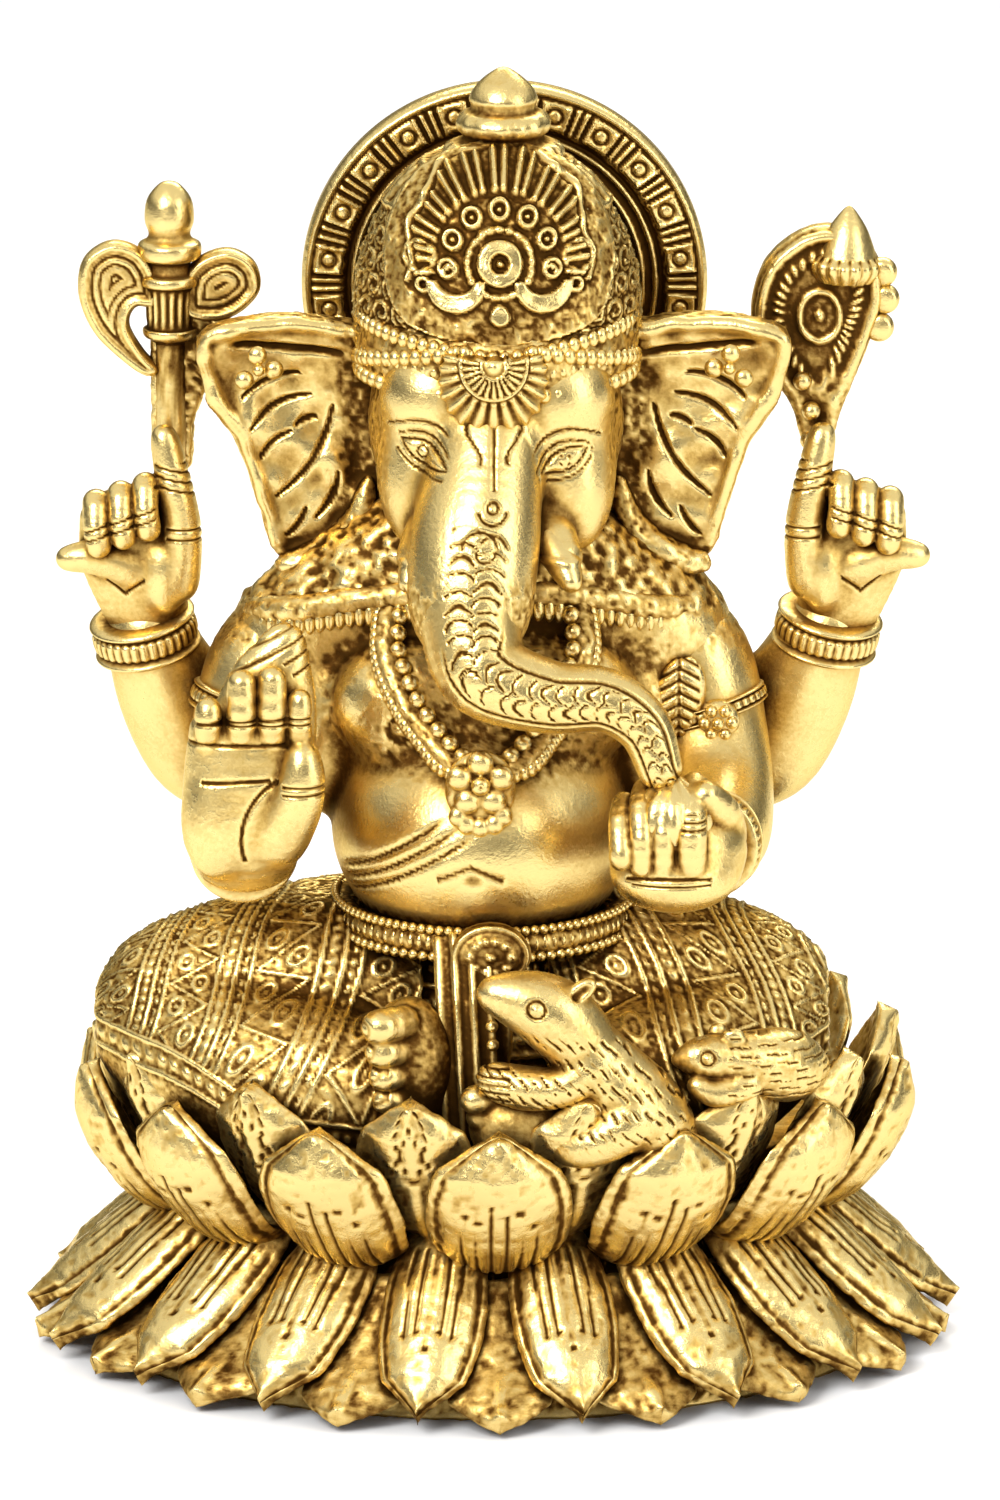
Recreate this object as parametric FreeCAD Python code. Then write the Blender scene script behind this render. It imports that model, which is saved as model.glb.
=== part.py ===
"""Seated elephant-headed deity on a double lotus, cast brass, 200 mm tall.

The figure is an assembly of castings and applied ornaments that are brazed together, and one screw
holds the figure on its hollow lotus pedestal. +Z is up, the figure faces -Y, and +X is the figure's
own left. The origin is the middle of the pedestal's footprint, on the surface that it stands on.
"""

import FreeCAD, Part

import math
import os

from FreeCAD import Matrix, Placement, Rotation, Vector

# ---------------------------------------------------------------- driving dimensions, millimetres
FOOT_A, FOOT_B = 73.0, 59.0           # half axes of the footprint, at the lower petal tips
CORE_A, CORE_B = 62.0, 49.0           # half axes of the pedestal's core at its foot
WAIST_A, WAIST_B, WAIST_Z = 45.0, 35.0, 25.0
DECK_A, DECK_B, DECK_Z = 49.0, 38.0, 34.0
WALL = 4.0                            # pedestal wall and deck thickness
LOWER_PETALS, UPPER_PETALS = 18, 14   # petals in each row
SCREW_R, SCREW_HEAD_R, SCREW_HEAD_H = 3.0, 5.5, 4.0
SCREW_LENGTH, WASHER_R, WASHER_T = 20.0, 8.0, 1.6
TORSO_WALL, BOSS_R, BOSS_H = 5.0, 7.0, 18.0
HIP_Z, NECK_Z = 62.0, 128.0
HEAD_C, HEAD_R = Vector(1, -5, 145), Vector(20.5, 19, 22)
HALO_C, HALO_R, HALO_T = Vector(1, 16, 163), 30.5, 3.6
COLLAR_R, COLLAR_T = 21.0, 2.6        # the beaded collar round the neck
HALO_CUT_Z = 138.0                    # the halo's disc ends here, behind the shoulders
CROWN_C, CROWN_R = Vector(0.5, -3, 163), Vector(22, 19.5, 26)
CROWN_BAND_Z = 156.0
TOP_Z = 200.0

OUT = "parts"
parts = {}


# ---------------------------------------------------------------- shape helpers
def outward(solid):
    """The solid with its faces turned outward, so that its volume counts as positive."""
    return solid.reversed() if solid.Volume < 0 else solid


def ring_wire(centre, along, reference, half_u, half_v, points=10):
    """A closed smooth curve, an ellipse about centre, square to along. half_u lies towards reference."""
    t = Vector(along).normalize()
    u = Vector(reference) - t * Vector(reference).dot(t)
    u.normalize()
    v = t.cross(u)
    turn = 2 * math.pi / points
    outline = [
        centre + u * (half_u * math.cos(turn * k)) + v * (half_v * math.sin(turn * k))
        for k in range(points)
    ]
    curve = Part.BSplineCurve()
    curve.interpolate(outline, PeriodicFlag=True)
    return Part.Wire([curve.toShape()])


def eased(stations, steps=3):
    """The stations with more put between them along smooth curves, so that a loft doesn't swing out."""
    ends = [stations[0], *stations, stations[-1]]
    result = []
    for a, b, c, d in zip(ends, ends[1:], ends[2:], ends[3:]):
        for k in range(steps):
            t = k / steps
            result.append(tuple(
                q + t / 2 * (r - p + t * (2 * p - 5 * q + 4 * r - s + t * (3 * (q - r) + s - p)))
                for p, q, r, s in zip(a, b, c, d)
            ))
    return [*result, stations[-1]]


def limb(stations, reference=(1, 0, 0)):
    """A smooth solid through stations (x, y, z, half_u, half_v), each section square to the path."""
    stations = eased(stations)
    centres = [Vector(*s[:3]) for s in stations]
    wires = []
    for i, station in enumerate(stations):
        before = centres[max(i - 1, 0)]
        after = centres[min(i + 1, len(centres) - 1)]
        wires.append(ring_wire(centres[i], after - before, Vector(*reference), *station[3:5]))
    return outward(Part.makeLoft(wires, True, False))


def level_loft(levels):
    """A smooth solid through level ellipses (x, y, z, half_x, half_y)."""
    wires = [
        ring_wire(Vector(x, y, z), Vector(0, 0, 1), Vector(1, 0, 0), a, b, 12) for x, y, z, a, b in levels
    ]
    return outward(Part.makeLoft(wires, True, False))


def stack(levels):
    """A level loft with more slices put between the given ones."""
    return level_loft(eased(levels))


def ellipsoid(centre, radii, slices=11):
    """An ellipsoid as a level loft, with a small flat at each end."""
    x, y, z = centre
    a, b, c = radii
    leans = [math.radians(84) * (2 * k / (slices - 1) - 1) for k in range(slices)]
    return level_loft(
        [(x, y, z + c * math.sin(t), a * math.cos(t), b * math.cos(t)) for t in leans]
    )


def plate(outline, y_front, thickness):
    """A plate across Y, its smooth outline through (x, z) points."""
    curve = Part.BSplineCurve()
    curve.interpolate([Vector(x, y_front, z) for x, z in outline], PeriodicFlag=True)
    return Part.Face(Part.Wire([curve.toShape()])).extrude(Vector(0, thickness, 0))


def turned(profile, centre):
    """A solid of revolution about a vertical axis, from (radius, height) points, standing on centre."""
    points = [Vector(0, 0, profile[0][1])]
    points += [Vector(r, 0, z) for r, z in profile]
    points += [Vector(0, 0, profile[-1][1]), Vector(0, 0, profile[0][1])]
    face = Part.Face(Part.makePolygon(points))
    solid = face.revolve(Vector(0, 0, 0), Vector(0, 0, 1), 360)
    solid.translate(Vector(*centre))
    return solid


def main_solid(shape):
    """The largest solid of a boolean's result, without the crumbs that it may leave."""
    return outward(max(shape.Solids, key=lambda s: abs(s.Volume)))


def seated(shape, *names):
    """The shape with its neighbours' space taken out of it, so that the two meet face to face."""
    for name in names:
        for other in parts[name].Solids:
            if shape.BoundBox.intersect(other.BoundBox):
                shape = main_solid(shape.cut(other))
    return shape


def around(count, half_turn, a, b):
    """Point and outward direction of each of count places round an ellipse, from the front."""
    for k in range(count):
        angle = 2 * math.pi * (k + (0.5 if half_turn else 0.0)) / count
        point = Vector(a * math.sin(angle), -b * math.cos(angle), 0)
        yield point, Vector(math.sin(angle) / a, -math.cos(angle) / b, 0).normalize()


# ---------------------------------------------------------------- lotus pedestal
def make_pedestal():
    levels = [
        (0, 0, 0, CORE_A, CORE_B),
        (0, 0, 8, CORE_A - 3, CORE_B - 3),
        (0, 0, 17, WAIST_A + 4, WAIST_B + 4),
        (0, 0, WAIST_Z, WAIST_A, WAIST_B),
        (0, 0, DECK_Z, DECK_A, DECK_B),
    ]
    hollow = [(x, y, z, a - WALL, b - WALL) for x, y, z, a, b in levels[:-1]]
    hollow[0] = (0, 0, -1, CORE_A - WALL, CORE_B - WALL)
    hollow.append((0, 0, DECK_Z - WALL, WAIST_A - WALL, WAIST_B - WALL))
    body = stack(levels).cut(stack(hollow))
    hole = Part.makeCylinder(SCREW_R + 0.3, 2 * WALL, Vector(0, 0, DECK_Z - 1.5 * WALL))
    parts["lotus_pedestal"] = main_solid(body.cut(hole))


def make_petal_row(name, count, half_turn, path):
    """A row of petals. path gives (share of the foot's half axes, z, half width, half thickness)."""
    petals = []
    for point, radial in around(count, half_turn, FOOT_A, FOOT_B):
        side = Vector(0, 0, 1).cross(radial)
        stations = [
            (point.x * share, point.y * share, z, width, thick) for share, z, width, thick in path
        ]
        petals.append(seated(limb(stations, tuple(side)), "lotus_pedestal"))
    parts[name] = Part.makeCompound(petals)


def clear_of(name, *others):
    """Takes the space of others out of each solid of a row."""
    parts[name] = Part.makeCompound([seated(solid, *others) for solid in parts[name].Solids])


def make_petals():
    make_petal_row(
        "lower_petals_front",
        LOWER_PETALS,
        True,
        [
            (0.60, 25, 6.0, 1.6), (0.70, 20, 7.8, 2.4), (0.82, 12.5, 9.0, 2.8), (0.93, 6.0, 6.5, 2.8),
            (0.985, 3.4, 1.6, 2.4),
        ],
    )
    make_petal_row(
        "lower_petals_back",
        LOWER_PETALS,
        False,
        [(0.72, 9, 5.0, 1.6), (0.82, 5.0, 6.5, 2.2), (0.93, 2.9, 4.5, 2.0), (0.985, 2.2, 1.2, 1.2)],
    )
    clear_of("lower_petals_back", "lower_petals_front")
    make_petal_row(
        "upper_petals_outer",
        UPPER_PETALS,
        False,
        [
            (0.60, 23.5, 5.6, 1.6), (0.72, 26.5, 9.6, 2.4), (0.80, 33, 10.3, 2.2), (0.85, 40, 7.2, 1.8),
            (0.875, 46, 1.5, 1.0),
        ],
    )
    make_petal_row(
        "upper_petals_inner",
        UPPER_PETALS,
        True,
        [
            (0.60, 27.5, 5.4, 1.4), (0.69, 32, 8.0, 2.0), (0.75, 39, 8.4, 1.8), (0.80, 45, 6.0, 1.5),
            (0.835, 50, 1.5, 1.0),
        ],
    )
    clear_of("upper_petals_outer", "lower_petals_front")
    clear_of("upper_petals_inner", "upper_petals_outer")


# ---------------------------------------------------------------- body, legs and feet
def make_torso():
    """Hips, belly, chest and neck, cast hollow and open below, with a boss for the screw on a rib."""
    stations = [
        (-1, 3, DECK_Z, 29, 24),
        (-1, 2, 48, 29, 25),
        (-1, -3, HIP_Z, 26, 24),
        (-1.5, -8.5, 74, 24, 24),
        (-1.5, -9, 86, 23.5, 24.5),
        (-1.5, -6, 97, 24, 20),
        (-1.5, -3, 107, 28, 17),
        (-1.5, -1, 115, 30, 14),
        (-1.5, 0, 122, 26, 11),
        (-1, 0, NECK_Z, 18, 9),
    ]
    hollow = [(x, y, z, a - TORSO_WALL, b - TORSO_WALL) for x, y, z, a, b in stations[:7]]
    hollow[0] = (*hollow[0][:2], DECK_Z - 1, *hollow[0][3:])
    boss = Part.makeCylinder(BOSS_R, BOSS_H, Vector(0, 0, DECK_Z))
    rib = Part.makeBox(54, TORSO_WALL, BOSS_H, Vector(-27, -TORSO_WALL / 2, DECK_Z))
    tapped = Part.makeCylinder(SCREW_R, SCREW_LENGTH, Vector(0, 0, DECK_Z - WALL - WASHER_T))
    shell = main_solid(stack(stations).cut(stack(hollow)))
    parts["torso"] = main_solid(shell.fuse(rib).fuse(boss).cut(tapped))


def make_leg(name, side, knee_x):
    """Thigh out to the knee and shin folded back in front of it, in one casting."""
    reach = side * knee_x
    thigh = limb(
        [
            (0.2 * reach, 4, 54, 13, 16),
            (0.4 * reach, 0, 54, 17.5, 18),
            (0.64 * reach, -5, 53, 18, 17.5),
            (0.85 * reach, -8, 52, 13, 14.5),
            (reach, -9, 51, 4, 5),
        ],
        (0, 1, 0),
    )
    shin = limb(
        [
            (0.86 * reach, -14, 49, 11, 12),
            (0.64 * reach, -22, 47, 12, 12.5),
            (0.46 * reach, -28, 46.5, 10.5, 11.5),
            (0.31 * reach, -32, 46.5, 7, 8.5),
        ],
        (0, 1, 0),
    )
    leg = main_solid(thigh.fuse(shin))
    below = Part.makeBox(200, 200, DECK_Z, Vector(-100, -100, 0))
    parts[name] = seated(main_solid(leg.cut(below)), "torso")
    for row in ("upper_petals_outer", "upper_petals_inner"):
        clear_of(row, name)


def make_feet():
    """The right foot stands on edge with its sole inward, and the left one lies flat under the mouse."""
    foot = limb(
        [(-14, -33, 42, 3, 4), (-13, -35.5, 47, 5, 6), (-12.5, -37, 54, 5, 6), (-13, -38, 60, 3, 4)],
        (1, 0, 0),
    )
    for k in range(5):
        toe = ellipsoid((-17.5 + 0.4 * k, -41.5 + 0.6 * k, 60.5 - 3.6 * k), (4.6 - 0.4 * k, 3.4, 2.1))
        foot = foot.fuse(toe)
    parts["right_foot"] = seated(main_solid(foot), "torso", "right_leg", "left_leg", "upper_petals_inner")
    other = limb(
        [(20, -34, 42, 3, 4), (12, -39, 43, 4.5, 5.5), (4, -41.5, 43, 4, 5), (-2, -42.5, 42.5, 2, 3)],
        (0, 1, 0),
    )
    rows = ("upper_petals_inner", "upper_petals_outer")
    parts["left_foot"] = seated(main_solid(other), "torso", "left_leg", "right_foot", *rows)


# ---------------------------------------------------------------- dress and jewellery on the body
def make_belt():
    outer = stack(
        [(-1.5, -6.5, 68.6, 25.2, 25.4), (-1.5, -7, 71, 26.2, 26.4), (-1.5, -7, 73.4, 25.4, 25.8)]
    )
    inner = stack([(-1.5, -6.5, 64, 20.5, 20.5), (-1.5, -6.5, 78, 20.5, 20.5)])
    parts["waist_belt"] = seated(main_solid(outer.cut(inner)), "torso", "right_leg", "left_leg")
    buckle = ellipsoid((-1, -34, 69.5), (6.5, 3, 5))
    parts["belt_buckle"] = seated(buckle, "torso", "waist_belt", "right_leg", "left_leg")
    apron = limb(
        [(-3, -31, 69, 6, 3), (-3.5, -36, 60, 5.5, 3), (-4, -38, 50, 5, 2.6), (-4, -38, 42, 5, 2)]
    )
    parts["apron"] = seated(
        apron, "torso", "waist_belt", "belt_buckle", "right_leg", "left_leg", "right_foot", "left_foot"
    )


def make_necklace():
    """A beaded chain from the shoulders down to the pendant, as a flattened tube on the chest."""
    half = [(15.5, -10, 120), (15.5, -19, 112), (12.5, -26, 105), (8.5, -30, 100), (4, -32.5, 97)]
    chain = [(-x - 1, y, z, 1.9, 3.4) for x, y, z in half]
    chain += [(x - 2, y, z, 1.9, 3.4) for x, y, z in reversed(half)]
    parts["necklace"] = seated(limb(chain, (0, 1, 0.3)), "torso")
    pendant = ellipsoid((-2.5, -34, 94.5), (6.2, 2.6, 6.5))
    parts["pendant"] = seated(pendant, "torso", "necklace")
    flatten = Matrix()
    flatten.scale(Vector(1, 0.74, 1))
    collar = Part.makeTorus(COLLAR_R, COLLAR_T).transformGeometry(flatten)
    collar.Placement = Placement(Vector(0, -2.5, 116.5), Rotation(0, 0, -14))
    parts["shoulder_collar"] = seated(collar, "torso", "necklace")


# ---------------------------------------------------------------- arms, hands and what they hold
FRONT_ARM = {
    -1: [
        (-29, 1, 112, 8, 8), (-34.5, 0, 106, 9, 9), (-37.5, -2, 96, 8.6, 9), (-38.5, -9, 88, 8.4, 8.5),
        (-38.5, -20, 85, 7.5, 7.5), (-38, -31, 85, 6, 6),
    ],
    1: [
        (26, 1, 112, 8, 8), (30.5, 0, 106, 9, 9), (33, -2, 96, 8.6, 9), (34, -9, 88, 8.4, 8.5),
        (34, -20, 84.5, 7.5, 7.5), (31.5, -29, 85, 6, 6),
    ],
}
REAR_UPPER_ARM = [
    (24, 9, 110, 6.5, 6.5), (33, 12, 101, 7.5, 7.5), (40, 13, 92, 7.5, 7.5), (43.5, 12.5, 87, 4.5, 4.5),
]
REAR_FOREARM = [
    (40, 13, 84.5, 5, 5), (44.5, 12, 91, 8.3, 8), (49, 9.5, 100.5, 7.7, 7.3), (52.6, 6, 111, 5.2, 5.2),
]
REAR_SHIFT = -1.0     # both rear arms stand this much towards the figure's own right


def make_bracelet(name, centre, along, inner, outer, height, *neighbours):
    """A plain band round a wrist or upper arm, square to along."""
    axis = Vector(*along).normalize()
    start = Vector(*centre) - axis * (height / 2)
    band = Part.makeCylinder(outer, height, start, axis)
    band = band.cut(Part.makeCylinder(inner, height + 2, start - axis, axis))
    band = band.makeFillet(height / 4, [e for e in band.Edges if e.Length > 2 * math.pi * (outer - 0.1)])
    parts[name] = seated(main_solid(band), *neighbours)


def make_front_arms():
    parts["front_right_arm"] = seated(limb(FRONT_ARM[-1]), "torso", "shoulder_collar", "right_leg")
    parts["front_left_arm"] = seated(limb(FRONT_ARM[1]), "torso", "shoulder_collar", "left_leg")
    palm = limb(
        [
            (-37.5, -33, 82, 5, 3), (-38, -36.5, 87, 8, 5), (-38, -38, 95, 9, 5),
            (-37.5, -38, 104, 8.8, 4), (-37, -37, 113, 7, 3.2), (-36.5, -36, 120, 3, 2),
        ]
    )
    thumb = limb([(-31, -38, 89, 3, 3), (-29.5, -40, 96, 2.8, 2.8), (-29.8, -40.5, 102, 2, 2)])
    parts["front_right_hand"] = seated(
        main_solid(palm.fuse(thumb)), "front_right_arm", "right_leg", "torso",
    )
    fist = ellipsoid((27.5, -37, 86.5), (10.5, 9.5, 9))
    parts["sweet_ball"] = ellipsoid((26, -41.5, 92), (6, 5.4, 6))
    parts["front_left_hand"] = seated(fist, "sweet_ball", "front_left_arm", "left_leg", "torso")
    make_bracelet(
        "front_right_bracelet", (-38.4, -28.5, 85), (0.1, -1, 0), 5.6, 8.6, 4, "front_right_arm",
        "front_right_hand", "right_leg",
    )
    make_bracelet(
        "front_left_bracelet", (32.2, -26.5, 84.8), (-0.3, -1, 0.03), 5.6, 8.6, 4, "front_left_arm",
        "front_left_hand", "left_leg", "torso",
    )
    make_bracelet(
        "right_armlet", (-36.4, -1, 100), (-0.3, -0.1, -1), 8, 11.2, 6, "front_right_arm", "torso",
    )
    make_bracelet("left_armlet", (32.2, -1, 100), (0.3, -0.1, -1), 8, 11.2, 6, "front_left_arm", "torso")


def make_rear_arms():
    for side, word in ((-1, "right"), (1, "left")):
        upper, fore = (
            limb([(side * x + REAR_SHIFT, y, z, u, v) for x, y, z, u, v in path], (0, 1, 0))
            for path in (REAR_UPPER_ARM, REAR_FOREARM)
        )
        arm = main_solid(upper.fuse(fore))
        parts[f"rear_{word}_arm"] = seated(
            arm, "torso", "shoulder_collar", f"front_{word}_arm", f"{word}_armlet",
        )
        palm = limb(
            [
                (side * 53, 5.5, 112.5, 6, 4.5), (side * 55, 4, 118, 8.5, 5),
                (side * 56.5, 3, 125, 9, 5.5), (side * 57, 3, 131, 7, 5), (side * 57, 3, 134, 3, 3),
            ]
        )
        finger = limb(
            [
                (side * 50, 2, 123, 2.6, 2.6), (side * 49.3, 1.5, 131, 2.5, 2.5),
                (side * 49.2, 1.5, 139, 2.2, 2.2), (side * 49.4, 1.8, 143, 1.2, 1.2),
            ]
        )
        thumb = limb(
            [
                (side * 60, 1, 124, 3, 3), (side * 64, 0, 122.5, 2.4, 2.4),
                (side * 66.5, 0, 121, 1.4, 1.4),
            ],
            (0, 1, 0),
        )
        hand = main_solid(palm.fuse(finger).fuse(thumb))
        parts[f"rear_{word}_hand"] = seated(hand, f"rear_{word}_arm")
        make_bracelet(
            f"rear_{word}_bracelet", (
                side * 52.4 + REAR_SHIFT, 6.4, 109,
            ), (side * 0.2, -0.2, 1), 4.8, 8.2, 5,
            f"rear_{word}_arm", f"rear_{word}_hand",
        )


def make_axe():
    shaft = turned(
        [
            (2.6, 0), (2.6, 20), (4.2, 21.5), (4.2, 29), (3.6, 30), (4.6, 32), (4.6, 35.5), (4.0, 37),
            (3.7, 40), (0.6, 45.4),
        ],
        (-49.4, 6, 135.5),
    )
    blade = plate(
        [(-53.5, 167), (-58, 171.5), (-63, 168), (-62, 159), (-56.5, 151.5), (-53, 150), (-51.5, 158)],
        4.6, 2.8,
    )
    back = plate(
        [(-46, 166), (-40, 170.5), (-36, 167.5), (-35.5, 163.5), (-40, 160), (-46, 159)], 4.6, 2.8,
    )
    axe = main_solid(shaft.fuse(blade).fuse(back))
    parts["axe"] = seated(axe, "rear_right_hand")


def make_noose():
    """The loop of rope, shown as a pear-shaped shell round a knot, with a pointed cap above."""
    outline = [
        (48.2, 139), (45.5, 147), (41, 155), (39.5, 163), (44, 171), (52, 173.5), (58.5, 168),
        (60, 160), (55.5, 150), (52, 141),
    ]
    cap = turned([(5.5, 0), (6.2, 3), (4.4, 6), (0.5, 11)], (54, 6, 167.5))
    noose = main_solid(plate(outline, 3, 6).fuse(cap))
    parts["noose"] = seated(noose, "rear_left_hand")


# ---------------------------------------------------------------- head
def make_head():
    skull = ellipsoid(tuple(HEAD_C), tuple(HEAD_R))
    parts["head"] = seated(skull, "torso", "shoulder_collar")
    trunk = limb(
        [
            (0, -20, 149, 9, 6),
            (-2, -25, 141, 9.8, 7.5),
            (-4, -29, 131, 8.8, 7.2),
            (-4, -33, 121, 7.6, 6.8),
            (-1.5, -36.5, 114, 6.8, 6),
            (8, -38, 111, 5.4, 5.2),
            (16.5, -38.5, 110.5, 4.8, 4.6),
            (22, -39.6, 106.5, 4.0, 4.0),
            (24.3, -41, 100, 3.2, 3.2),
        ],
        (1, 0, 0.35),
    )
    parts["trunk"] = seated(
        trunk, "head", "torso", "necklace", "pendant", "sweet_ball", "shoulder_collar",
        "front_left_hand",
    )
    for side, word in ((-1, "right"), (1, "left")):
        tusk = limb(
            [
                (side * 9, -24, 131, 2.6, 2.6), (side * 11, -28, 127, 2.4, 2.4),
                (side * 12.5, -31, 124, 1.2, 1.2),
            ]
        )
        parts[f"{word}_tusk"] = seated(tusk, "head", "trunk", "torso", "shoulder_collar")


def make_ears():
    outline = [
        (17, 158), (30, 161.5), (44.5, 159), (46, 155.5), (43, 146), (37, 134), (30.5, 125), (24, 124),
        (18, 130), (16, 144),
    ]
    for side, word in ((-1, "right"), (1, "left")):
        ear = plate([(side * x, z) for x, z in outline], -1.5, 5.5)
        parts[f"{word}_ear"] = seated(
            ear, "head", "torso", "shoulder_collar", f"front_{word}_arm", "axe", "noose",
            f"rear_{word}_hand",
        )


def make_halo():
    disc = Part.makeCylinder(HALO_R, HALO_T, HALO_C, Vector(0, 1, 0))
    recess = Part.makeCylinder(24.5, 1.2, HALO_C, Vector(0, 1, 0))
    lower = Part.makeBox(100, 40, 60, Vector(-50, 0, HALO_CUT_Z - 60))
    disc = main_solid(disc.cut(recess).cut(lower))
    parts["halo"] = seated(disc, "head", "right_ear", "left_ear")


def make_crown():
    dome = ellipsoid(tuple(CROWN_C), tuple(CROWN_R))
    lower = Part.makeBox(100, 100, 60, Vector(-50, -50, CROWN_BAND_Z - 60))
    dome = main_solid(dome.cut(lower))
    parts["crown_cap"] = seated(dome, "head", "halo", "right_ear", "left_ear", "trunk")
    band = limb(
        [
            (0.5, -4, CROWN_BAND_Z - 3.5, 22.5, 20.5), (0.5, -4, CROWN_BAND_Z, 23.5, 21.5),
            (0.5, -4, CROWN_BAND_Z + 4, 23, 21),
        ]
    )
    parts["crown_band"] = seated(band, "head", "crown_cap", "right_ear", "left_ear", "halo", "trunk")
    crest = limb(
        [
            (0.5, -24.5, 161, 12, 2), (0.5, -23.5, 167, 16, 3), (0.5, -21, 174, 15, 3),
            (0.5, -17, 181, 9, 2.5), (0.5, -14, 185, 3, 1.5),
        ]
    )
    parts["crown_crest"] = seated(crest, "crown_cap", "crown_band", "head")
    jewel = limb(
        [(-1, -23, 158, 7.5, 3), (-1, -25, 155, 8, 2.4), (-1, -25, 151, 5, 2), (-1, -24.5, 148, 1.5, 1)]
    )
    parts["forehead_jewel"] = seated(jewel, "crown_band", "crown_cap", "crown_crest", "head", "trunk")
    finial = turned(
        [
            (6.5, 0), (8.6, 2.5), (8.8, 5), (6.6, 7.2), (6.8, 9.5), (5.6, 13), (3.2, 16.2),
            (0.6, TOP_Z - 182.5),
        ],
        (1.5, -2, 182.5),
    )
    parts["crown_finial"] = seated(finial, "crown_cap", "crown_crest", "halo")


# ---------------------------------------------------------------- mice and the fixing screw
def make_mice():
    body = limb(
        [
            (25, -40, 40, 3, 3), (22.5, -42, 44, 6.5, 6), (17, -43, 51, 6.5, 6), (12, -44, 58, 5, 5),
            (8.5, -44.5, 63, 4.8, 4.8), (3, -45, 64.5, 3.2, 3.2), (-1, -45, 66, 1.2, 1.2),
        ],
        (0, 1, 0),
    )
    paws = limb(
        [
            (14, -45, 51, 2.6, 2.6), (8, -46, 51, 2.8, 2.8), (2, -46, 53, 3.2, 3.2),
            (-3, -45.5, 53.5, 1.6, 1.6),
        ],
        (0, 1, 0),
    )
    neighbours = (
        "left_leg", "left_foot", "apron", "right_foot", "upper_petals_inner", "upper_petals_outer",
        "lotus_pedestal",
    )
    parts["mouse"] = seated(main_solid(body.fuse(paws)), *neighbours)
    small = limb(
        [
            (27.5, -38, 53.5, 1, 1), (31, -38, 54, 3, 3), (35, -37, 53.5, 3.2, 3.2),
            (40, -34.5, 52, 5, 5), (45, -31.5, 50, 5, 5), (48.5, -29, 48, 2, 2),
        ],
        (0, 1, 0),
    )
    parts["small_mouse"] = seated(small, "left_leg", "upper_petals_inner", "upper_petals_outer", "mouse")


def make_fixing():
    under = DECK_Z - WALL
    washer = Part.makeCylinder(WASHER_R, WASHER_T, Vector(0, 0, under - WASHER_T))
    parts["fixing_washer"] = washer.cut(
        Part.makeCylinder(SCREW_R + 0.2, 2 * WASHER_T, Vector(0, 0, under - 1.5 * WASHER_T))
    )
    head = Part.makeCylinder(SCREW_HEAD_R, SCREW_HEAD_H, Vector(0, 0, under - WASHER_T - SCREW_HEAD_H))
    slot = Part.makeBox(
        3 * SCREW_HEAD_R, 1.4, 1.8, Vector(-1.5 * SCREW_HEAD_R, -0.7, under - WASHER_T - SCREW_HEAD_H),
    )
    shank = Part.makeCylinder(SCREW_R, SCREW_LENGTH, Vector(0, 0, under - WASHER_T))
    parts["fixing_screw"] = head.fuse(shank).cut(slot)


def main():
    os.makedirs(OUT, exist_ok=True)
    for stale in os.listdir(OUT):
        if stale.endswith(".step"):
            os.remove(os.path.join(OUT, stale))
    steps = [
        make_pedestal, make_petals, make_torso,
        lambda: make_leg("right_leg", -1, 57.5), lambda: make_leg("left_leg", 1, 47),
        make_feet, make_belt, make_necklace, make_front_arms, make_rear_arms, make_axe, make_noose,
        make_head, make_ears, make_halo, make_crown, make_mice, make_fixing,
    ]
    for step in steps:
        step()
    for name, shape in parts.items():
        shape.exportStep(f"{OUT}/{name}.step")
        solids = shape.Solids
        sound = all(s.isValid() and s.isClosed() and s.Volume > 0 for s in solids)
        volume = sum(s.Volume for s in solids)
        print(f"{name:24s} {len(solids):3d} solids {volume:10.1f} mm3 {'ok' if sound else 'BAD'}")


main()
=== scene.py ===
"""Looks of the seated elephant-headed deity on a double lotus, in chased and patinated cast brass.

Every visible casting is sculpted here in millimetres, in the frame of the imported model, and stands
for the plain CAD node of the same name. +Z is up, the figure faces -Y, and +X is its own left.
Three kinds of surface are used: clay (distance fields on a grid), petals and turned pieces (grids of
points from a formula), and beads. Chased detail then moves the points along their normals.
"""
import itertools
import math

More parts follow.
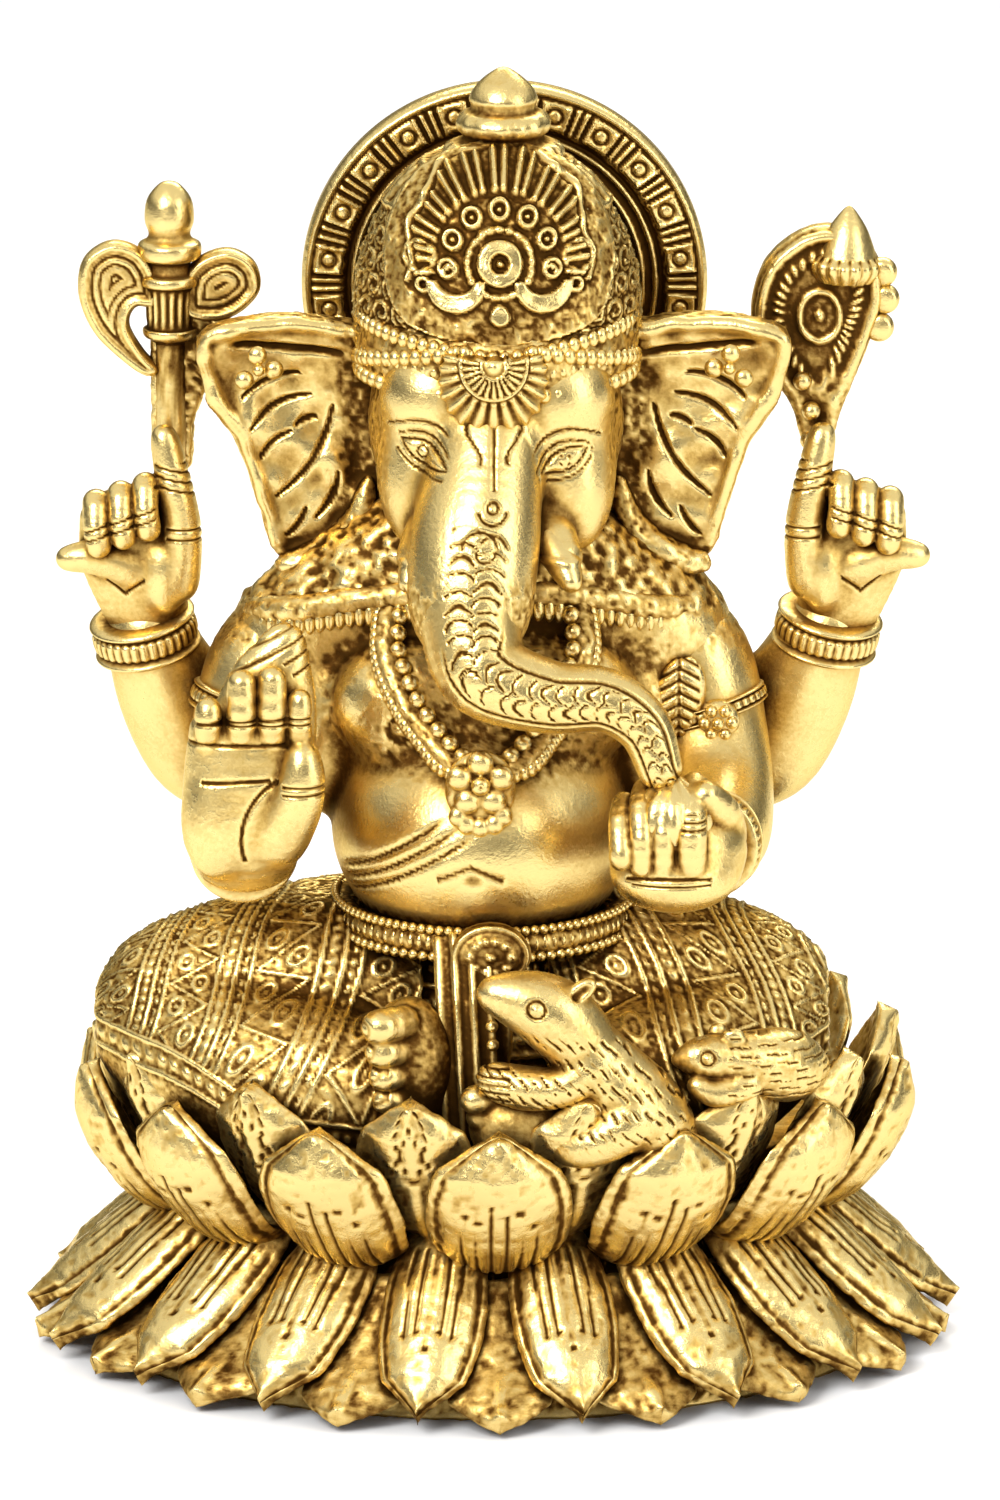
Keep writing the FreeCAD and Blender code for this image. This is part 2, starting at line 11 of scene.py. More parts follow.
import bpy
import numpy as np
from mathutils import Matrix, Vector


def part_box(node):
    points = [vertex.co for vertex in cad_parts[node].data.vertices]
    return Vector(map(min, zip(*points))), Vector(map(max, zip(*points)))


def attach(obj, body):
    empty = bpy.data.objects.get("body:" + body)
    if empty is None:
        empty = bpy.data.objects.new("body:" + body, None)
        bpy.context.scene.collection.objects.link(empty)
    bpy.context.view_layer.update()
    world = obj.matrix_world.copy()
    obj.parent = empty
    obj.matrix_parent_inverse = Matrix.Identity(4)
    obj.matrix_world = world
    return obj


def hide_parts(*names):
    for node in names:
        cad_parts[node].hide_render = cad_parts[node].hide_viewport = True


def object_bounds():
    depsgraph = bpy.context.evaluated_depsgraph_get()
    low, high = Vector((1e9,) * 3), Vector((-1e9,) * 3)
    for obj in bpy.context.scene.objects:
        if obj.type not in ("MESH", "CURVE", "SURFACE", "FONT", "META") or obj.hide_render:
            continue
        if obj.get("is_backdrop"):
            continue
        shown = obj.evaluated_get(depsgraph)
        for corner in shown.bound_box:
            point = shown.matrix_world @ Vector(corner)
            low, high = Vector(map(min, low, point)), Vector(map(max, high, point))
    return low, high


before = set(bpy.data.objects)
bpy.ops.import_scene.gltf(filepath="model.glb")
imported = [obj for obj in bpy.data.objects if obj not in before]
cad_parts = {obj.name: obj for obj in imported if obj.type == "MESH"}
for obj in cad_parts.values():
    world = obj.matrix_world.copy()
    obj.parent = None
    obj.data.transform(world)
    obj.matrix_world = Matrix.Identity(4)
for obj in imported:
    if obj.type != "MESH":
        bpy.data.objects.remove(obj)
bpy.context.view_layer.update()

import openvdb as vdb
from mathutils import Vector

MM = 0.001
FAR = 50.0                 # distance given to cells that no form reaches, in millimetres
FRONT = np.array([0.0, -1.0, 0.0])
UP = np.array([0.0, 0.0, 1.0])


def box_mm(node):
    """The lowest and highest corner of a CAD node, in millimetres."""
    low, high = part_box(node)
    return np.array(low) / MM, np.array(high) / MM


# ---------------------------------------------------------------- numbers and curves
def unit(vector):
    vector = np.asarray(vector, float)
    return vector / np.linalg.norm(vector)


def step_up(low, high, value):
    """0 below low, 1 above high, and smooth between."""
    t = np.clip((value - low) / (high - low), 0, 1)
    return t * t * (3 - 2 * t)


def ridge(distance, half):
    """A round ridge of height 1, where distance is within half of zero."""
    return 0.5 + 0.5 * np.cos(np.pi * np.clip(distance / half, -1, 1))


def every(value, pitch):
    """Signed distance from value to the nearest multiple of pitch."""
    return (value + pitch / 2) % pitch - pitch / 2


def smooth_path(points, steps, closed=False):
    """Catmull-Rom curve through points, with steps spans for each given one."""
    points = np.asarray(points, float)
    if closed:
        ends = np.vstack([points[-1:], points, points[:2]])
    else:
        ends = np.vstack([points[:1], points, points[-1:]])
    rows = []
    for p, q, r, s in zip(ends, ends[1:], ends[2:], ends[3:]):
        for t in np.arange(steps) / steps:
            rows.append(q + t / 2 * (r - p + t * (2 * p - 5 * q + 4 * r - s + t * (3 * (q - r) + s - p))))
    if not closed:
        rows.append(points[-1])
    return np.array(rows)


def travel_along(curve):
    """Distance from the start of a curve to each of its points."""
    return np.concatenate([[0], np.cumsum(np.linalg.norm(np.diff(curve[:, :3], axis=0), axis=1))])


def headings(curve):
    """The direction of travel at each point of a curve."""
    ahead = np.gradient(curve, axis=0)
    return ahead / np.linalg.norm(ahead, axis=1, keepdims=True)


def grain(points, size, seed=0):
    """Smooth noise from -1 to 1, with lumps of about size."""
    scaled = points / size + seed * 17.31
    cell = np.floor(scaled).astype(np.int64)
    part = scaled - cell
    part = part * part * (3 - 2 * part)
    total = np.zeros(len(points))
    for corner in itertools.product((0, 1), repeat=3):
        key = cell + corner
        mixed = (key[:, 0] * 374761393 + key[:, 1] * 668265263 + key[:, 2] * 1274126177) & 0xFFFFFFFF
        mixed = ((mixed ^ (mixed >> 13)) * 1274126177) & 0xFFFFFFFF
        value = ((mixed ^ (mixed >> 16)) & 0xFFFF) / 32767.5 - 1
        weight = np.prod([part[:, i] if corner[i] else 1 - part[:, i] for i in range(3)], axis=0)
        total += value * weight
    return total


# ---------------------------------------------------------------- clay: distance fields
class Form:
    """A shape as the box that it fills and a function from X, Y, Z to distance, in millimetres."""

    def __init__(self, low, high, distance):
        self.low = np.asarray(low, float)
        self.high = np.asarray(high, float)
        self.distance = distance


def oval(centre, radii, turn=0.0, axis="y"):
    """An ellipsoid, turned in degrees about one axis through its centre."""
    centre = np.asarray(centre, float)
    radii = np.asarray(radii, float)
    i, j = {"x": (1, 2), "y": (2, 0), "z": (0, 1)}[axis]
    cosine, sine = math.cos(math.radians(turn)), math.sin(math.radians(turn))

    def distance(x, y, z):
        q = [x - centre[0], y - centre[1], z - centre[2]]
        q[i], q[j] = cosine * q[i] + sine * q[j], cosine * q[j] - sine * q[i]
        outer = np.sqrt(sum((q[k] / radii[k]) ** 2 for k in range(3)))
        inner = np.sqrt(sum((q[k] / radii[k] ** 2) ** 2 for k in range(3)))
        return outer * (outer - 1) / np.maximum(inner, 1e-5)

    reach = radii if turn == 0 else np.full(3, radii.max())
    return Form(centre - reach, centre + reach, distance)


def segment(a, b, u, v, t, size_a, size_b):
    """An oval rod from a to b. The sizes are half widths along u and v."""

    def distance(x, y, z):
        span = b - a
        q = (x - a[0], y - a[1], z - a[2])
        h = np.clip(sum(q[k] * span[k] for k in range(3)) / max(span @ span, 1e-9), 0, 1)
        q = [q[k] - h * span[k] for k in range(3)]
        wide = size_a[0] + h * (size_b[0] - size_a[0])
        deep = size_a[1] + h * (size_b[1] - size_a[1])
        tip = np.minimum(wide, deep)
        qu, qv, qt = (sum(q[k] * way[k] for k in range(3)) for way in (u, v, t))
        outer = np.sqrt((qu / wide) ** 2 + (qv / deep) ** 2 + (qt / tip) ** 2)
        inner = np.sqrt((qu / wide**2) ** 2 + (qv / deep**2) ** 2 + (qt / tip**2) ** 2)
        return outer * (outer - 1) / np.maximum(inner, 1e-5)

    reach = max(*size_a, *size_b)
    return Form(np.minimum(a, b) - reach, np.maximum(a, b) + reach, distance)


def tube(stations, reference=(1, 0, 0), steps=4):
    """Rods along a smooth path of (x, y, z, half_u[, half_v]) stations. half_u lies towards reference."""
    rows = smooth_path([(*s, s[3]) if len(s) == 4 else s for s in stations], steps)
    rods = []
    for a, b in zip(rows, rows[1:]):
        t = unit(b[:3] - a[:3])
        u = unit(np.asarray(reference, float) - t * (t @ np.asarray(reference, float)))
        rods.append(segment(a[:3], b[:3], u, np.cross(t, u), t, a[3:5], b[3:5]))
    return rods


def outline_distance(points, x, z):
    """Signed distance in the XZ plane to a closed polygon, negative inside."""
    best = np.full(np.broadcast(x, z).shape, 1e9)
    inside = np.zeros(best.shape, bool)
    for (x0, z0), (x1, z1) in zip(points, np.roll(points, -1, axis=0)):
        ex, ez = x1 - x0, z1 - z0
        t = np.clip(((x - x0) * ex + (z - z0) * ez) / (ex * ex + ez * ez + 1e-12), 0, 1)
        best = np.minimum(best, (x - x0 - t * ex) ** 2 + (z - z0 - t * ez) ** 2)
        if z0 != z1:
            crossing = (z0 > z) != (z1 > z)
            inside ^= crossing & (x < ex * (z - z0) / ez + x0)
    return np.where(inside, -1, 1) * np.sqrt(best)


def leaf(outline, y_low, y_high, rounding, bend=None):
    """A plate across Y with a smooth outline of (x, z) points. bend(x, z) moves it along Y."""
    curve = smooth_path(outline, 6, closed=True)
    middle, half = (y_low + y_high) / 2, (y_high - y_low) / 2 - rounding
    shift = bend or (lambda x, z: 0 * x)

    def distance(x, y, z):
        flat = outline_distance(curve, x, z) + rounding
        deep = np.abs(y - middle - shift(x, z)) - half
        outside = np.sqrt(np.maximum(flat, 0) ** 2 + np.maximum(deep, 0) ** 2)
        return outside + np.minimum(np.maximum(flat, deep), 0) - rounding

    low, high = curve.min(axis=0), curve.max(axis=0)
    slack = 8 if bend else 0
    return Form((low[0], y_low - slack, low[1]), (high[0], y_high + slack, high[1]), distance)


def soft_min(a, b, blend):
    if blend <= 0:
        return np.minimum(a, b)
    h = np.clip(0.5 + 0.5 * (a - b) / blend, 0, 1)
    return a + h * (b - a) - blend * h * (1 - h)


class Clay:
    """A lump kept as distances on a grid, negative inside."""

    def __init__(self, low, high, step):
        self.step = step
        self.low = np.asarray(low, float) - 3 * step
        counts = np.ceil((np.asarray(high, float) - self.low) / step).astype(int) + 4
        self.axes = [self.low[k] + step * np.arange(counts[k]) for k in range(3)]
        self.field = np.full(counts, FAR, np.float32)

    def region(self, form, margin):
        parts = []
        for k in range(3):
            first = np.searchsorted(self.axes[k], form.low[k] - margin)
            last = np.searchsorted(self.axes[k], form.high[k] + margin)
            parts.append(slice(first, last))
        places = np.ix_(*(self.axes[k][parts[k]].astype(np.float32) for k in range(3)))
        return tuple(parts), places

    def combine(self, forms, blend, rule):
        for form in forms if isinstance(forms, (list, tuple)) else [forms]:
            cells, (x, y, z) = self.region(form, blend + 4 * self.step)
            if self.field[cells].size:
                self.field[cells] = rule(self.field[cells], form.distance(x, y, z))

    def add(self, forms, blend=0.0):
        self.combine(forms, blend, lambda old, new: soft_min(old, new, blend))
        return self

    def cut(self, forms, blend=0.0):
        self.combine(forms, blend, lambda old, new: -soft_min(-old, new, blend))
        return self

    def keep_above(self, z):
        self.field = np.maximum(self.field, (z - self.axes[2])[None, None, :].astype(np.float32))
        return self

    def keep_below(self, z):
        self.field = np.maximum(self.field, (self.axes[2] - z)[None, None, :].astype(np.float32))
        return self

    def skin(self):
        grid = vdb.FloatGrid(2 * self.step)
        grid.copyFromArray(np.clip(self.field, -2 * self.step, 2 * self.step))
        points, quads = grid.convertToQuads()
        return Skin(self.low + points * self.step, quads).facing_out()


def clay_round(node, margin, step):
    """Clay with room for a CAD node, and a margin on every side."""
    low, high = box_mm(node)
    return Clay(low - margin, high + margin, step)


# ---------------------------------------------------------------- skins: meshes as arrays
class Skin:
    """Points and four-cornered faces. tone is extra polish (above zero), or patina and in places painted
    shade (below), by point.
    """

    def __init__(self, points, quads):
        self.points = np.asarray(points, float)
        self.quads = np.asarray(quads, np.int64)
        self.tone = np.zeros(len(self.points))

    def spread(self, values):
        """Sum, at each point, of a value by face corner, for values of shape (faces, columns)."""
        total = np.zeros((len(self.points), values.shape[1]))
        for k, column in itertools.product(range(4), range(values.shape[1])):
            total[:, column] += np.bincount(self.quads[:, k], values[:, column], len(self.points))
        return total

    def corners(self):
        return (self.points[self.quads[:, k]] for k in range(4))

    def normals(self):
        a, b, c, d = self.corners()
        total = self.spread(np.cross(c - a, d - b))
        return total / np.maximum(np.linalg.norm(total, axis=1, keepdims=True), 1e-9)

    def facing_out(self):
        """Turns every face round if they look inwards."""
        a, b, c, d = self.corners()
        if np.sum(a * np.cross(c - a, d - b)) < 0:
            self.quads = self.quads[:, ::-1]
        return self

    def relaxed(self, values, rounds):
        """Values averaged with those of the neighbouring points, over and over."""
        count = np.zeros(len(self.points))
        for k in range(4):
            count += 2 * np.bincount(self.quads[:, k], minlength=len(self.points))
        count = np.maximum(count, 1)[:, None]
        for _ in range(rounds):
            total = np.zeros_like(values)
            for k, shift in itertools.product(range(4), (1, 3)):
                ends = values[self.quads[:, (k + shift) % 4]]
                for column in range(values.shape[1]):
                    total[:, column] += np.bincount(self.quads[:, k], ends[:, column], len(values))
            values = 0.5 * values + 0.5 * total / count
        return values

    def chase(self, height, tone=0.0):
        """Raises the points by height along their normals, and adds tone."""
        self.points = self.points + self.normals() * np.asarray(height)[:, None]
        self.tone = self.tone + tone
        return self

    def stipple(self, depth, size=0.9, seed=1, where=1.0):
        """Punched ground: small pits and lumps, darker than plain metal."""
        noise = 0.65 * grain(self.points, size, seed) + 0.35 * grain(self.points, size / 2.1, seed + 5)
        where = where * np.ones(len(self.points))
        return self.chase(depth * noise * where, -0.22 * where + 0.25 * noise * where)

    def wear(self):
        """0 in recesses to 1 on polished high places, from how far each point stands out."""
        normals = self.normals()
        near = self.relaxed(self.points, 4)
        wide = self.relaxed(near, 24)
        stand_near = np.sum((self.points - near) * normals, axis=1)
        stand_wide = np.sum((self.points - wide) * normals, axis=1)
        return np.clip(0.62 + 3.2 * stand_near + 0.85 * stand_wide + self.tone, 0, 1)


def joined(skins):
    """One skin made of many that stay apart."""
    offset = np.cumsum([0] + [len(s.points) for s in skins[:-1]])
    quads = np.vstack([s.quads + o for s, o in zip(skins, offset)])
    skin = Skin(np.vstack([s.points for s in skins]), quads)
    skin.tone = np.concatenate([s.tone for s in skins])
    return skin


def publish(name, skin, node=None, metal=None):
    """Makes the Blender piece that stands for a CAD node."""
    mesh = bpy.data.meshes.new(name)
    mesh.vertices.add(len(skin.points))
    mesh.vertices.foreach_set("co", (skin.points * MM).astype(np.float32).ravel())
    mesh.loops.add(skin.quads.size)
    mesh.loops.foreach_set("vertex_index", skin.quads.astype(np.int32).ravel())
    mesh.polygons.add(len(skin.quads))
    mesh.polygons.foreach_set("loop_start", np.arange(0, skin.quads.size, 4, dtype=np.int32))
    mesh.update(calc_edges=True)
    mesh.validate()
    mesh.polygons.foreach_set("use_smooth", np.ones(len(mesh.polygons), bool))
    attribute = mesh.attributes.new("wear", "FLOAT", "POINT")
    attribute.data.foreach_set("value", skin.wear().astype(np.float32))
    piece = bpy.data.objects.new(name, mesh)
    bpy.context.collection.objects.link(piece)
    mesh.materials.append(metal or BRASS)
    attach(piece, "root")
    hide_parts(node or name)


def publish_polished(name, skin):
    publish(name, skin, metal=POLISHED)


# ---------------------------------------------------------------- grids: turned pieces, petals, beads
def closed_grid(points):
    """Faces of a grid of (rows, columns, 3) points that closes round its columns, with capped ends."""
    rows, columns = points.shape[:2]
    index = np.arange(rows * columns).reshape(rows, columns)
    beside = np.roll(index, -1, axis=1)
    quads = np.stack([index[:-1], beside[:-1], beside[1:], index[1:]], axis=-1).reshape(-1, 4)
    flat = points.reshape(-1, 3)
    ends = np.vstack([points[0].mean(axis=0), points[-1].mean(axis=0)])
    caps = []
    for centre, ring in ((len(flat), index[0][::-1]), (len(flat) + 1, index[-1])):
        for k in range(0, columns, 2):
            caps.append((ring[k], ring[(k + 1) % columns], ring[(k + 2) % columns], centre))
    return Skin(np.vstack([flat, ends]), np.vstack([quads, np.array(caps)])).facing_out()


def turned(profile, centre, along=(0, 0, 1), columns=96, smooth=4, ribs=None):
    """A turned solid from (radius, height) points. ribs(angle, height, radius) adds to the radius."""
    rows = smooth_path(profile, smooth)
    along = unit(along)
    aside = unit(np.cross(along, (0.3, 1, 0.2)))
    across = np.cross(along, aside)
    angle = 2 * np.pi * np.arange(columns) / columns
    radius = np.maximum(rows[:, :1], 0.02) + 0 * angle[None, :]
    if ribs:
        radius = radius + ribs(angle[None, :], rows[:, 1:2], radius)
    ring = np.cos(angle)[None, :, None] * aside + np.sin(angle)[None, :, None] * across
    points = np.asarray(centre, float) + radius[..., None] * ring + rows[:, 1][:, None, None] * along
    return closed_grid(points)


def bead(centre, radii, columns=12, rows=8):
    """A small ball or egg."""
    lean = np.pi * (np.arange(rows) + 0.5) / rows - np.pi / 2
    angle = 2 * np.pi * np.arange(columns) / columns
    radii = np.ones(3) * radii
    ring = np.stack(
        [
            np.cos(lean)[:, None] * np.cos(angle),
            np.cos(lean)[:, None] * np.sin(angle),
            np.sin(lean)[:, None] + 0 * angle,
        ],
        axis=-1,
    )
    skin = closed_grid(np.asarray(centre, float) + ring * radii)
    skin.tone += 0.12
    return skin


def strung(path, radius, gap, closed=False):
    """Beads along a path of points, gap apart."""
    curve = smooth_path(path, 12, closed)
    if closed:
        curve = np.vstack([curve, curve[:1]])
    travel = travel_along(curve)
    count = max(int(travel[-1] / gap), 2)
    places = np.linspace(0, travel[-1], count, endpoint=not closed)
    return [bead([np.interp(s, travel, curve[:, k]) for k in range(3)], radius) for s in places]


# ---------------------------------------------------------------- brass
def node_at(tree, kind, x, y, **inputs):
    """A shader node at a place in the editor, with its inputs set by name."""
    node = tree.nodes.new(kind)
    node.location = (x, y)
    for name, value in inputs.items():
        node.inputs[name].default_value = value
    return node


def brass(name, bright, middle, dark, smooth_finish=0.2, pitting=0.5):
    """Chased metal: polished high places, brown patina in recesses, fine pits and specks, and painted shade
    from ambient occlusion where parts crowd each other.
    """
    material = bpy.data.materials.new(name)
    material.use_nodes = True
    tree = material.node_tree
    link = tree.links.new
    shader = tree.nodes["Principled BSDF"]
    shader.inputs["Metallic"].default_value = 1.0
    shader.inputs["Specular Tint"].default_value = (*[c ** 0.4 for c in bright], 1.0)
    place = node_at(tree, "ShaderNodeTexCoord", -1500, 0)
    wear = node_at(tree, "ShaderNodeAttribute", -1500, 300)
    wear.attribute_name = "wear"
    cloud = node_at(tree, "ShaderNodeTexNoise", -1300, -100, Scale=90.0, Detail=4.0, Roughness=0.6)
    specks = node_at(tree, "ShaderNodeTexNoise", -1300, -350, Scale=1500.0, Detail=3.0, Roughness=0.7)
    pits = node_at(tree, "ShaderNodeTexVoronoi", -1300, -600, Scale=520.0)
    for texture in (cloud, specks, pits):
        link(place.outputs["Object"], texture.inputs["Vector"])
    # Ambient occlusion for painted shade: it darkens the colour where parts crowd each other and in
    # recesses.
    shade = node_at(tree, "ShaderNodeAmbientOcclusion", -1300, 550, Distance=0.010)
    shade.samples = 8

    def arithmetic(kind, x, y, first, second, third=None):
        node = node_at(tree, "ShaderNodeMath", x, y)
        node.operation = kind
        for socket, value in zip(node.inputs, (first, second, third)):
            if value is None:
                continue
            if isinstance(value, (int, float)):
                socket.default_value = value
            else:
                link(value, socket)
        return node.outputs[0]

    clean = arithmetic("MULTIPLY_ADD", -1050, -100, cloud.outputs["Fac"], 0.34, -0.17)
    speck = specks.outputs["Fac"]
    flecks = arithmetic("MULTIPLY_ADD", -1050, -350, speck, 0.5 * pitting, -0.25 * pitting)
    # Painted shade: the occlusion lowers the colour level, so crowded and hollow places turn dark brown and
    # rougher.
    painted_occlusion_shade = arithmetic("MULTIPLY_ADD", -1050, 550, shade.outputs["AO"], 0.75, -0.64)
    level = arithmetic("ADD", -850, 300, wear.outputs["Fac"], clean)
    level = arithmetic("ADD", -700, 300, level, flecks)
    level = arithmetic("ADD", -550, 300, level, painted_occlusion_shade)
    ramp = node_at(tree, "ShaderNodeValToRGB", -350, 300)
    stops = [(0.0, [c * 0.35 for c in dark]), (0.2, dark), (0.50, middle), (0.78, bright), (1.0, bright)]
    for position, colour in stops[1:-1]:
        ramp.color_ramp.elements.new(position)
    for element, (position, colour) in zip(ramp.color_ramp.elements, stops):
        element.position = position
        element.color = (*colour, 1.0)
    link(level, ramp.inputs["Fac"])
    link(ramp.outputs["Color"], shader.inputs["Base Color"])
    rough = node_at(tree, "ShaderNodeMapRange", -350, 0)
    for key, value in {"From Min": 0.2, "From Max": 0.8, "To Min": 0.6, "To Max": smooth_finish}.items():
        rough.inputs[key].default_value = value
    link(level, rough.inputs["Value"])
    link(rough.outputs["Result"], shader.inputs["Roughness"])
    hole = node_at(tree, "ShaderNodeMapRange", -1050, -600)
    for key, value in {"From Min": 0.0, "From Max": 0.22, "To Min": 0.0, "To Max": 1.0}.items():
        hole.inputs[key].default_value = value
    link(pits.outputs["Distance"], hole.inputs["Value"])
    height = arithmetic("MULTIPLY_ADD", -700, -450, hole.outputs["Result"], 0.35 * pitting, speck)
    bump = node_at(tree, "ShaderNodeBump", -350, -400, Strength=0.35, Distance=0.00025)
    link(height, bump.inputs["Height"])
    link(bump.outputs["Normal"], shader.inputs["Normal"])
    return material


BRASS = brass("chased_brass", (0.80, 0.605, 0.235), (0.57, 0.37, 0.098), (0.15, 0.064, 0.011), 0.26, 0.75)
POLISHED = brass("polished_brass", (0.80, 0.61, 0.245), (0.60, 0.395, 0.11), (0.18, 0.08, 0.015), 0.24, 0.5)
STEEL = brass("zinc_steel", (0.62, 0.64, 0.66), (0.45, 0.46, 0.47), (0.16, 0.15, 0.14), 0.3, 0.8)


# ---------------------------------------------------------------- lotus pedestal
FOOT_A, FOOT_B = 73.0, 59.0            # half axes of the pedestal's foot
LOWER_ROW, UPPER_ROW = 18, 14          # petals in each row
SEAT_Z = 34.2                          # the deck that the figure sits on
DECK_Z = box_mm("lotus_pedestal")[1][2]
CORE_LEVELS = [(62, 49, 0), (59, 46, 8), (49, 39, 17), (45, 35, 25), (49, 38, 34)]
CORE_WALL = 4.0


def around(count, half_turn=False):
    """Angles of count places round the foot, from the front, towards +X."""
    return 2 * np.pi * (np.arange(count) + (0.5 if half_turn else 0.0)) / count


def foot_point(angle, share):
    """The place at a share of the foot's half axes."""
    return np.array([FOOT_A * share * math.sin(angle), -FOOT_B * share * math.cos(angle), 0.0])


def petal(angle, path, thickness, hollow, face, rows=64, columns=44, point=0.75):
    """One petal. path gives (share of the foot, z, half width) from root to tip.
    hollow cups the middle, and face(across, up) is the chased height and tone on the outer side."""
    outward = unit([math.sin(angle) / FOOT_A, -math.cos(angle) / FOOT_B, 0])
    aside = np.cross(UP, outward)
    line = smooth_path([(*foot_point(angle, share)[:2], z, half) for share, z, half in path], 12)
    travel = travel_along(line)
    up = 1 - (1 - np.linspace(0, 1, rows)) ** 1.15
    spine = np.stack([np.interp(up * travel[-1], travel, line[:, k]) for k in range(3)], axis=-1)
    half = np.interp(up * travel[-1], travel, line[:, 3])
    half = np.maximum(half * np.clip((1 - up) / 0.2, 0, 1) ** point, 0.05)
    normal = np.cross(aside, headings(spine))
    normal *= np.sign(np.sum(normal * outward, axis=1, keepdims=True) + 1e-9)
    across = np.sin(np.linspace(-np.pi / 2, np.pi / 2, columns))
    edge = np.sqrt(np.maximum(1 - across**2, 0))
    wide = spine[:, None, :] + across[None, :, None] * half[:, None, None] * aside
    swell = hollow * (half / half.max())[:, None] * (1 - across**2)[None, :]
    height, tone = face(*np.broadcast_arrays(across[None, :], up[:, None]), half[:, None])
    fade = np.minimum(edge * 2.2, 1)[None, :]
    front = wide + normal[:, None, :] * (swell + height * fade + 0.5 * thickness * edge)[..., None]
    back = wide + normal[:, None, :] * (0.6 * swell - 0.5 * thickness * edge)[..., None]
    loop = np.concatenate([front, back[:, ::-1][:, 1:-1]], axis=1)
    skin = closed_grid(loop)
    tones = np.zeros(loop.shape[:2])
    tones[:, :columns] = tone
    skin.tone[: tones.size] = tones.ravel()
    return skin


def grooved(lines, reach, floor=0.0, depth=0.55):
    """A petal face with upright grooves of uneven length that end in drilled dots, inside a border."""

    def face(across, up, half):
        x = across * half
        border = ridge(1 - np.abs(across) - 0.16, 0.10) * step_up(0.15, 0.3, up)
        height = -0.35 * border
        tone = -0.30 * border
        for k in range(lines):
            place = (k - (lines - 1) / 2) * 1.15 / lines
            stop = reach - 0.16 * abs(place) - (0.05 if k % 2 else 0.0)
            groove = ridge(x - place * half * (1.15 - 0.25 * up), 0.42)
            groove = groove * step_up(floor, floor + 0.05, up) * (1 - step_up(stop - 0.02, stop, up))
            dot = ridge(np.hypot(x - place * half, (up - stop) * 24), 0.75)
            height = height - depth * np.maximum(groove, 1.2 * dot)
            tone = tone - 0.45 * np.maximum(groove, dot)
        return height, tone

    return face


def faceted(across, up, half):
    """A plain petal face with a keel and two creases that cross it as a lozenge."""
    keel = ridge(across * half, 1.6) * 0.5
    slope = np.abs(across) * 0.9
    crease = ridge(slope + up - 0.92, 0.035) + ridge(slope - up + 0.52, 0.035)
    return keel - 0.4 * np.minimum(crease, 1), 0.05 - 0.35 * np.minimum(crease, 1)


def ground(across, up, half):
    """The rough face of a petal that lies behind others, with a keel towards its tip."""
    keel = ridge(across * half, 1.6) * step_up(0.6, 0.9, up)
    return 0.6 * keel, 0.10 * keel - 0.13


def petal_row(name, count, half_turn, path, thickness, hollow, face, **more):
    """A ring of petals that differ a little in reach and height, with hand-worked faces."""
    petals = []
    for k, angle in enumerate(around(count, half_turn)):
        sway = 0.012 * math.sin(2.3 * k + 1)
        bent = [(share + 0.4 * sway, z * (1 + sway), half) for share, z, half in path]
        petals.append(petal(angle, bent, thickness, hollow, face, **more))
    skin = joined(petals)
    rough = 0.12 * grain(skin.points, 1.1, 3) + 0.22 * grain(skin.points, 4.0, 4)
    skin.chase(rough, 0.35 * rough)
    skin.stipple(0.10, 0.9, 7, 0.45)
    publish(name, skin)


def make_pedestal():
    """The waisted shell under the petals, with a scalloped foot and punched ground."""
    outer = smooth_path(CORE_LEVELS, 10)
    inner = [(a - CORE_WALL, b - CORE_WALL, z) for a, b, z in CORE_LEVELS[:-1]]
    waist_a, waist_b, _ = CORE_LEVELS[3]
    inner = smooth_path([*inner, (waist_a - CORE_WALL, waist_b - CORE_WALL, DECK_Z - CORE_WALL)], 6)
    lid = [(49 * s, 38 * s, DECK_Z) for s in (0.8, 0.5, 0.2, 0.02)]
    under = [(41 * s, 31 * s, DECK_Z - CORE_WALL) for s in (0.02, 0.4, 0.8)]
    rows = np.array([*under, *inner[::-1], *outer, *lid])
    angle = 2 * np.pi * np.arange(400) / 400
    points = np.stack(
        [rows[:, :1] * np.sin(angle), -rows[:, 1:2] * np.cos(angle), rows[:, 2:3] + 0 * angle], axis=-1
    )
    skin = closed_grid(points)
    skin.stipple(0.3, 1.3, 11)
    publish("lotus_pedestal", skin)


def make_petals():
    """Four rows: long and short petals that hang from the waist, and two rows that stand up."""
    lower = [(0.62, 25, 5.6), (0.70, 20, 7.6), (0.82, 12.5, 8.0), (0.93, 6.0, 5.8), (0.99, 3.2, 3.0)]
    petal_row("lower_petals_front", LOWER_ROW, True, lower, 3.6, 2.2, grooved(5, 0.66, 0.1), rows=62)
    behind = [(0.66, 18.5, 4.5), (0.74, 13.0, 6.6), (0.84, 7.0, 8.0), (0.93, 3.2, 7.4), (0.985, 2.0, 4.4)]
    petal_row(
        "lower_petals_back", LOWER_ROW, False, behind, 2.6, 1.0, ground, rows=54, columns=36,
        point=0.45,
    )
    outer = [
        (0.60, 23.5, 5.8), (0.72, 26.0, 9.8), (0.80, 32.5, 11.2), (0.845, 39, 9.8), (0.872, 45.5, 5.4),
    ]
    petal_row(
        "upper_petals_outer", UPPER_ROW, False, outer, 3.2, 3.4, grooved(6, 0.68, 0.16), rows=76,
        point=0.5,
    )
    inner = [(0.60, 27.5, 5.6), (0.69, 32, 8.4), (0.75, 39, 9.4), (0.795, 45, 8.0), (0.832, 50.5, 4.6)]
    petal_row(
        "upper_petals_inner", UPPER_ROW, True, inner, 3.0, 2.8, faceted, rows=54, columns=40, point=0.5,
    )


# ---------------------------------------------------------------- body
SHOULDERS = [
    (-32, 1, 110, 8), (-23, 0, 115.5, 9), (-12, -1, 121, 11), (-1, -1, 124, 12), (9, -1, 121, 11),
    (20, 0, 115.5, 9), (28, 1, 110, 8),
]


